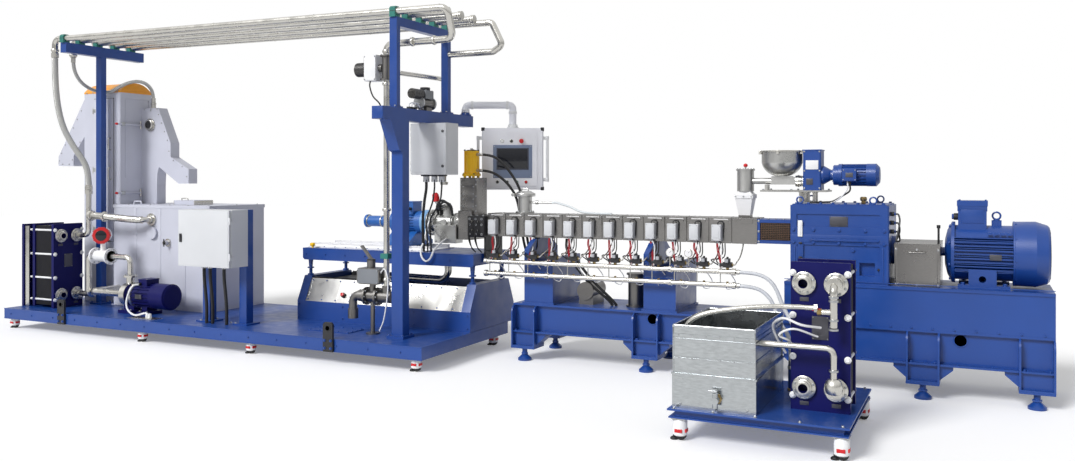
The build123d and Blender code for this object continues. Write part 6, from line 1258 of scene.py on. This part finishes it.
# hoses
def dress_hose_ends():
    steel, zinc = kit(hose_ferrules=PIPE_STEEL, hose_nuts=ZINC)
    for place, axis, radius in (((-4370, -885, 2669), DOWN, 29), ((-4146, -687.5, 1339), UP, 29),
                                ((-4333, -715, 2639), DOWN, 18), ((-3988, -45, 2233), UP, 18)):
        outer = radius * 1.16
        steel.turned(place, axis, [(0, radius), (2, outer), (46, outer), (48, radius * 1.04)], 32)
    nut = [(0, 14), (12, 14), (13, 12.4), (34, 12.4), (35, 11)]
    zinc.rounds(grid(-143.5, 0, (1656, 1519)), RIGHT, nut, 6)
    zinc.rounds(grid(380, (202, 250), 487), UP, nut, 6)
    zinc.rounds(grid(380, (202, 250), 450), UP, [(0, 20), (8, 20), (9, 17)], 6)
    sleeve = [(0, 15), (2, 16), (28, 16), (30, 14)]
    steel.rounds(grid(2151, MANIFOLD_Y, MANIFOLD_LEVELS), RIGHT, sleeve, 28)
    steel.rounds(grid(WATER_PORT_XS, WATER_PORT_Y, 331), UP, sleeve, 28)


BRAIDED_ROUTE = [(-4370, -885, 2669.7), (-4371, -886, 2440), (-4354, -872, 2160), (-4314, -839, 1935),
                 (-4236, -774, 1742), (-4168, -710, 1603), (-4146, -687.5, 1465), (-4146, -687.5, 1338.3)]
CHUTE_ROUTE = [(-4333, -715, 2639.7), (-4333, -715, 2560), (-4337, -680, 2470), (-4343, -610, 2395),
               (-4346, -500, 2345), (-4312, -436, 2330), (-4251, -402, 2323), (-4170, -402, 2325),
               (-4072, -390, 2375), (-3995, -320, 2425), (-3978, -210, 2440), (-3983, -105, 2405),
               (-3988, -45, 2325), (-3988, -45, 2232.3)]
UPPER_OIL_ROUTE = [(-143.7, 0, 1656), (-60, 0, 1656), (40, 28, 1612), (140, 70, 1478), (200, 112, 1336),
                   (216, 146, 1150), (224, 170, 950), (252, 188, 780), (322, 198, 640), (380, 202, 560),
                   (380, 202, 486.3)]
LOWER_OIL_ROUTE = [(-143.7, 0, 1519), (-70, 0, 1519), (25, 25, 1480), (110, 60, 1396), (158, 112, 1290),
                   (174, 152, 1110), (182, 178, 930), (218, 208, 760), (306, 240, 640), (380, 250, 560),
                   (380, 250, 486.3)]
UPPER_WATER_ROUTE = [(2150.3, -345, 783), (2240, -345, 783), (2340, -385, 775), (2430, -490, 745),
                     (2500, -640, 700), (2560, -800, 640), (2630, -965, 590), (2700, -1125, 545),
                     (2745, -1230, 450), (2745, -1230, 330.3)]
LOWER_WATER_ROUTE = [(2150.3, -345, 686), (2240, -345, 686), (2335, -390, 672), (2415, -495, 640),
                     (2480, -640, 595), (2535, -795, 545), (2590, -950, 515), (2655, -1122, 510),
                     (2700, -1230, 450), (2700, -1230, 330.3)]
CONDUIT_SHAPE = [(0, 0, 675.7), (0, 0, 590), (12, 5, 470), (16, 14, 350), (8, 22, 262), (8, 22, 195.3)]


def make_hose(name, route, diameter, node, material):
    data = bpy.data.curves.new(name, "CURVE")
    data.dimensions = "3D"
    spline = data.splines.new("NURBS")
    spline.points.add(len(route) - 1)
    for point, place in zip(spline.points, route):
        point.co = (*at(*place), 1)
    spline.order_u = 3
    spline.use_endpoint_u = True
    spline.resolution_u = 12
    data.bevel_depth = diameter * MM / 2
    data.bevel_resolution = 5
    data.use_fill_caps = True
    data.materials.append(material)
    piece = bpy.data.objects.new(name, data)
    bpy.context.scene.collection.objects.link(piece)
    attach(piece, "line")
    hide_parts(node)


def make_hoses():
    make_hose("riser_hose", BRAIDED_ROUTE, 56, "braided_hoses", BRAID)
    make_hose("chute_hose", CHUTE_ROUTE, 34, "braided_hoses", BRAID)
    make_hose("upper_oil_hose", UPPER_OIL_ROUTE, 22, "black_hoses", BLACK_RUBBER)
    make_hose("lower_oil_hose", LOWER_OIL_ROUTE, 22, "black_hoses", BLACK_RUBBER)
    make_hose("upper_water_hose", UPPER_WATER_ROUTE, 26, "water_hoses", HOSE_GREY)
    make_hose("lower_water_hose", LOWER_WATER_ROUTE, 26, "water_hoses", HOSE_GREY)
    for number, x in enumerate(CONDUIT_XS, 1):
        route = [(x + dx, CONDUIT_Y + dy, z) for dx, dy, z in CONDUIT_SHAPE]
        make_hose(f"cabinet_conduit_{number}", route, 28, "black_hoses", BLACK_RUBBER)


for dress in (dress_base, dress_gearbox, dress_lantern, dress_guard, dress_motor, dress_covers,
              dress_cooling, dress_vent, dress_feeder, dress_die_head, dress_chamber, dress_table,
              dress_deck, dress_casters, dress_gantry, dress_valves, dress_boxes, dress_panel,
              dress_dryer, dress_tank, dress_pump, dress_exchangers, dress_cart, dress_hose_ends):
    dress()
make_hoses()
for batch in batches:
    batch.finish()


# camera, floor and light
def make_camera():
    data = bpy.data.cameras.new("camera")
    data.sensor_width = SENSOR
    data.lens = SENSOR * FOCAL_PIXELS / PHOTO_WIDTH
    data.shift_y = -HORIZON_ABOVE_CENTRE / PHOTO_WIDTH
    data.clip_end = 200
    camera = bpy.data.objects.new("camera", data)
    camera.location = at(*CAMERA_PLACE)
    camera.rotation_euler = (radians(90), 0, radians(CAMERA_TURN))
    bpy.context.scene.collection.objects.link(camera)
    bpy.context.scene.camera = camera


def make_studio():
    world = bpy.data.worlds.new("studio")
    bpy.context.scene.world = world
    world.use_nodes = True
    tree = world.node_tree
    background = tree.nodes["Background"]
    rays = tree.nodes.new("ShaderNodeLightPath")
    seen = combine(tree, "MAXIMUM", rays.outputs["Is Camera Ray"], rays.outputs["Is Transmission Ray"])
    direction = tree.nodes.new("ShaderNodeTexCoord")
    parts = tree.nodes.new("ShaderNodeSeparateXYZ")
    tree.links.new(direction.outputs["Generated"], parts.inputs[0])
    dome = tree.nodes.new("ShaderNodeValToRGB")
    for stop, value in zip(dome.color_ramp.elements, (SKY_LOW, SKY_HIGH)):
        stop.color = (value, value, value, 1)
    dome.color_ramp.elements[1].position = 0.55
    tree.links.new(parts.outputs["Z"], dome.inputs["Fac"])
    mirrored = tree.nodes.new("ShaderNodeMix")
    mirrored.inputs["A"].default_value = FILL_LIGHT
    tree.links.new(rays.outputs["Is Glossy Ray"], mirrored.inputs["Factor"])
    tree.links.new(dome.outputs["Color"], mirrored.inputs["B"])
    background.inputs["Color"].default_value = (1, 1, 1, 1)
    tree.links.new(combine(tree, "MAXIMUM", mirrored.outputs["Result"], seen), background.inputs["Strength"])

    bpy.ops.mesh.primitive_plane_add(size=60, location=at(0, 0, -1))
    floor = bpy.context.object
    floor.name = "studio_floor"
    material, tree, shader, _ = new_material("floor")
    shader.inputs["Base Color"].default_value = (0.9, 0.9, 0.9, 1)
    shader.inputs["Roughness"].default_value = 0.9
    shader.inputs["Specular IOR Level"].default_value = 0.1
    rays = tree.nodes.new("ShaderNodeLightPath")
    seen = combine(tree, "MAXIMUM", rays.outputs["Is Camera Ray"], rays.outputs["Is Glossy Ray"])
    seen = combine(tree, "MAXIMUM", seen, rays.outputs["Is Transmission Ray"])
    shader.inputs["Emission Color"].default_value = (1, 1, 1, 1)
    tree.links.new(combine(tree, "MULTIPLY", seen, FLOOR_GLOW), shader.inputs["Emission Strength"])
    floor.data.materials.append(material)

    sun = bpy.data.lights.new("key", "SUN")
    sun.energy = KEY_LIGHT
    sun.angle = radians(KEY_SPREAD)
    light = bpy.data.objects.new("key", sun)
    light.location = at(*KEY_PLACE)
    light.rotation_euler = (-Vector(KEY_PLACE)).to_track_quat("-Z", "Y").to_euler()
    bpy.context.scene.collection.objects.link(light)


make_camera()
make_studio()
bpy.context.scene.view_settings.view_transform = "Standard"

bpy.context.view_layer.update()
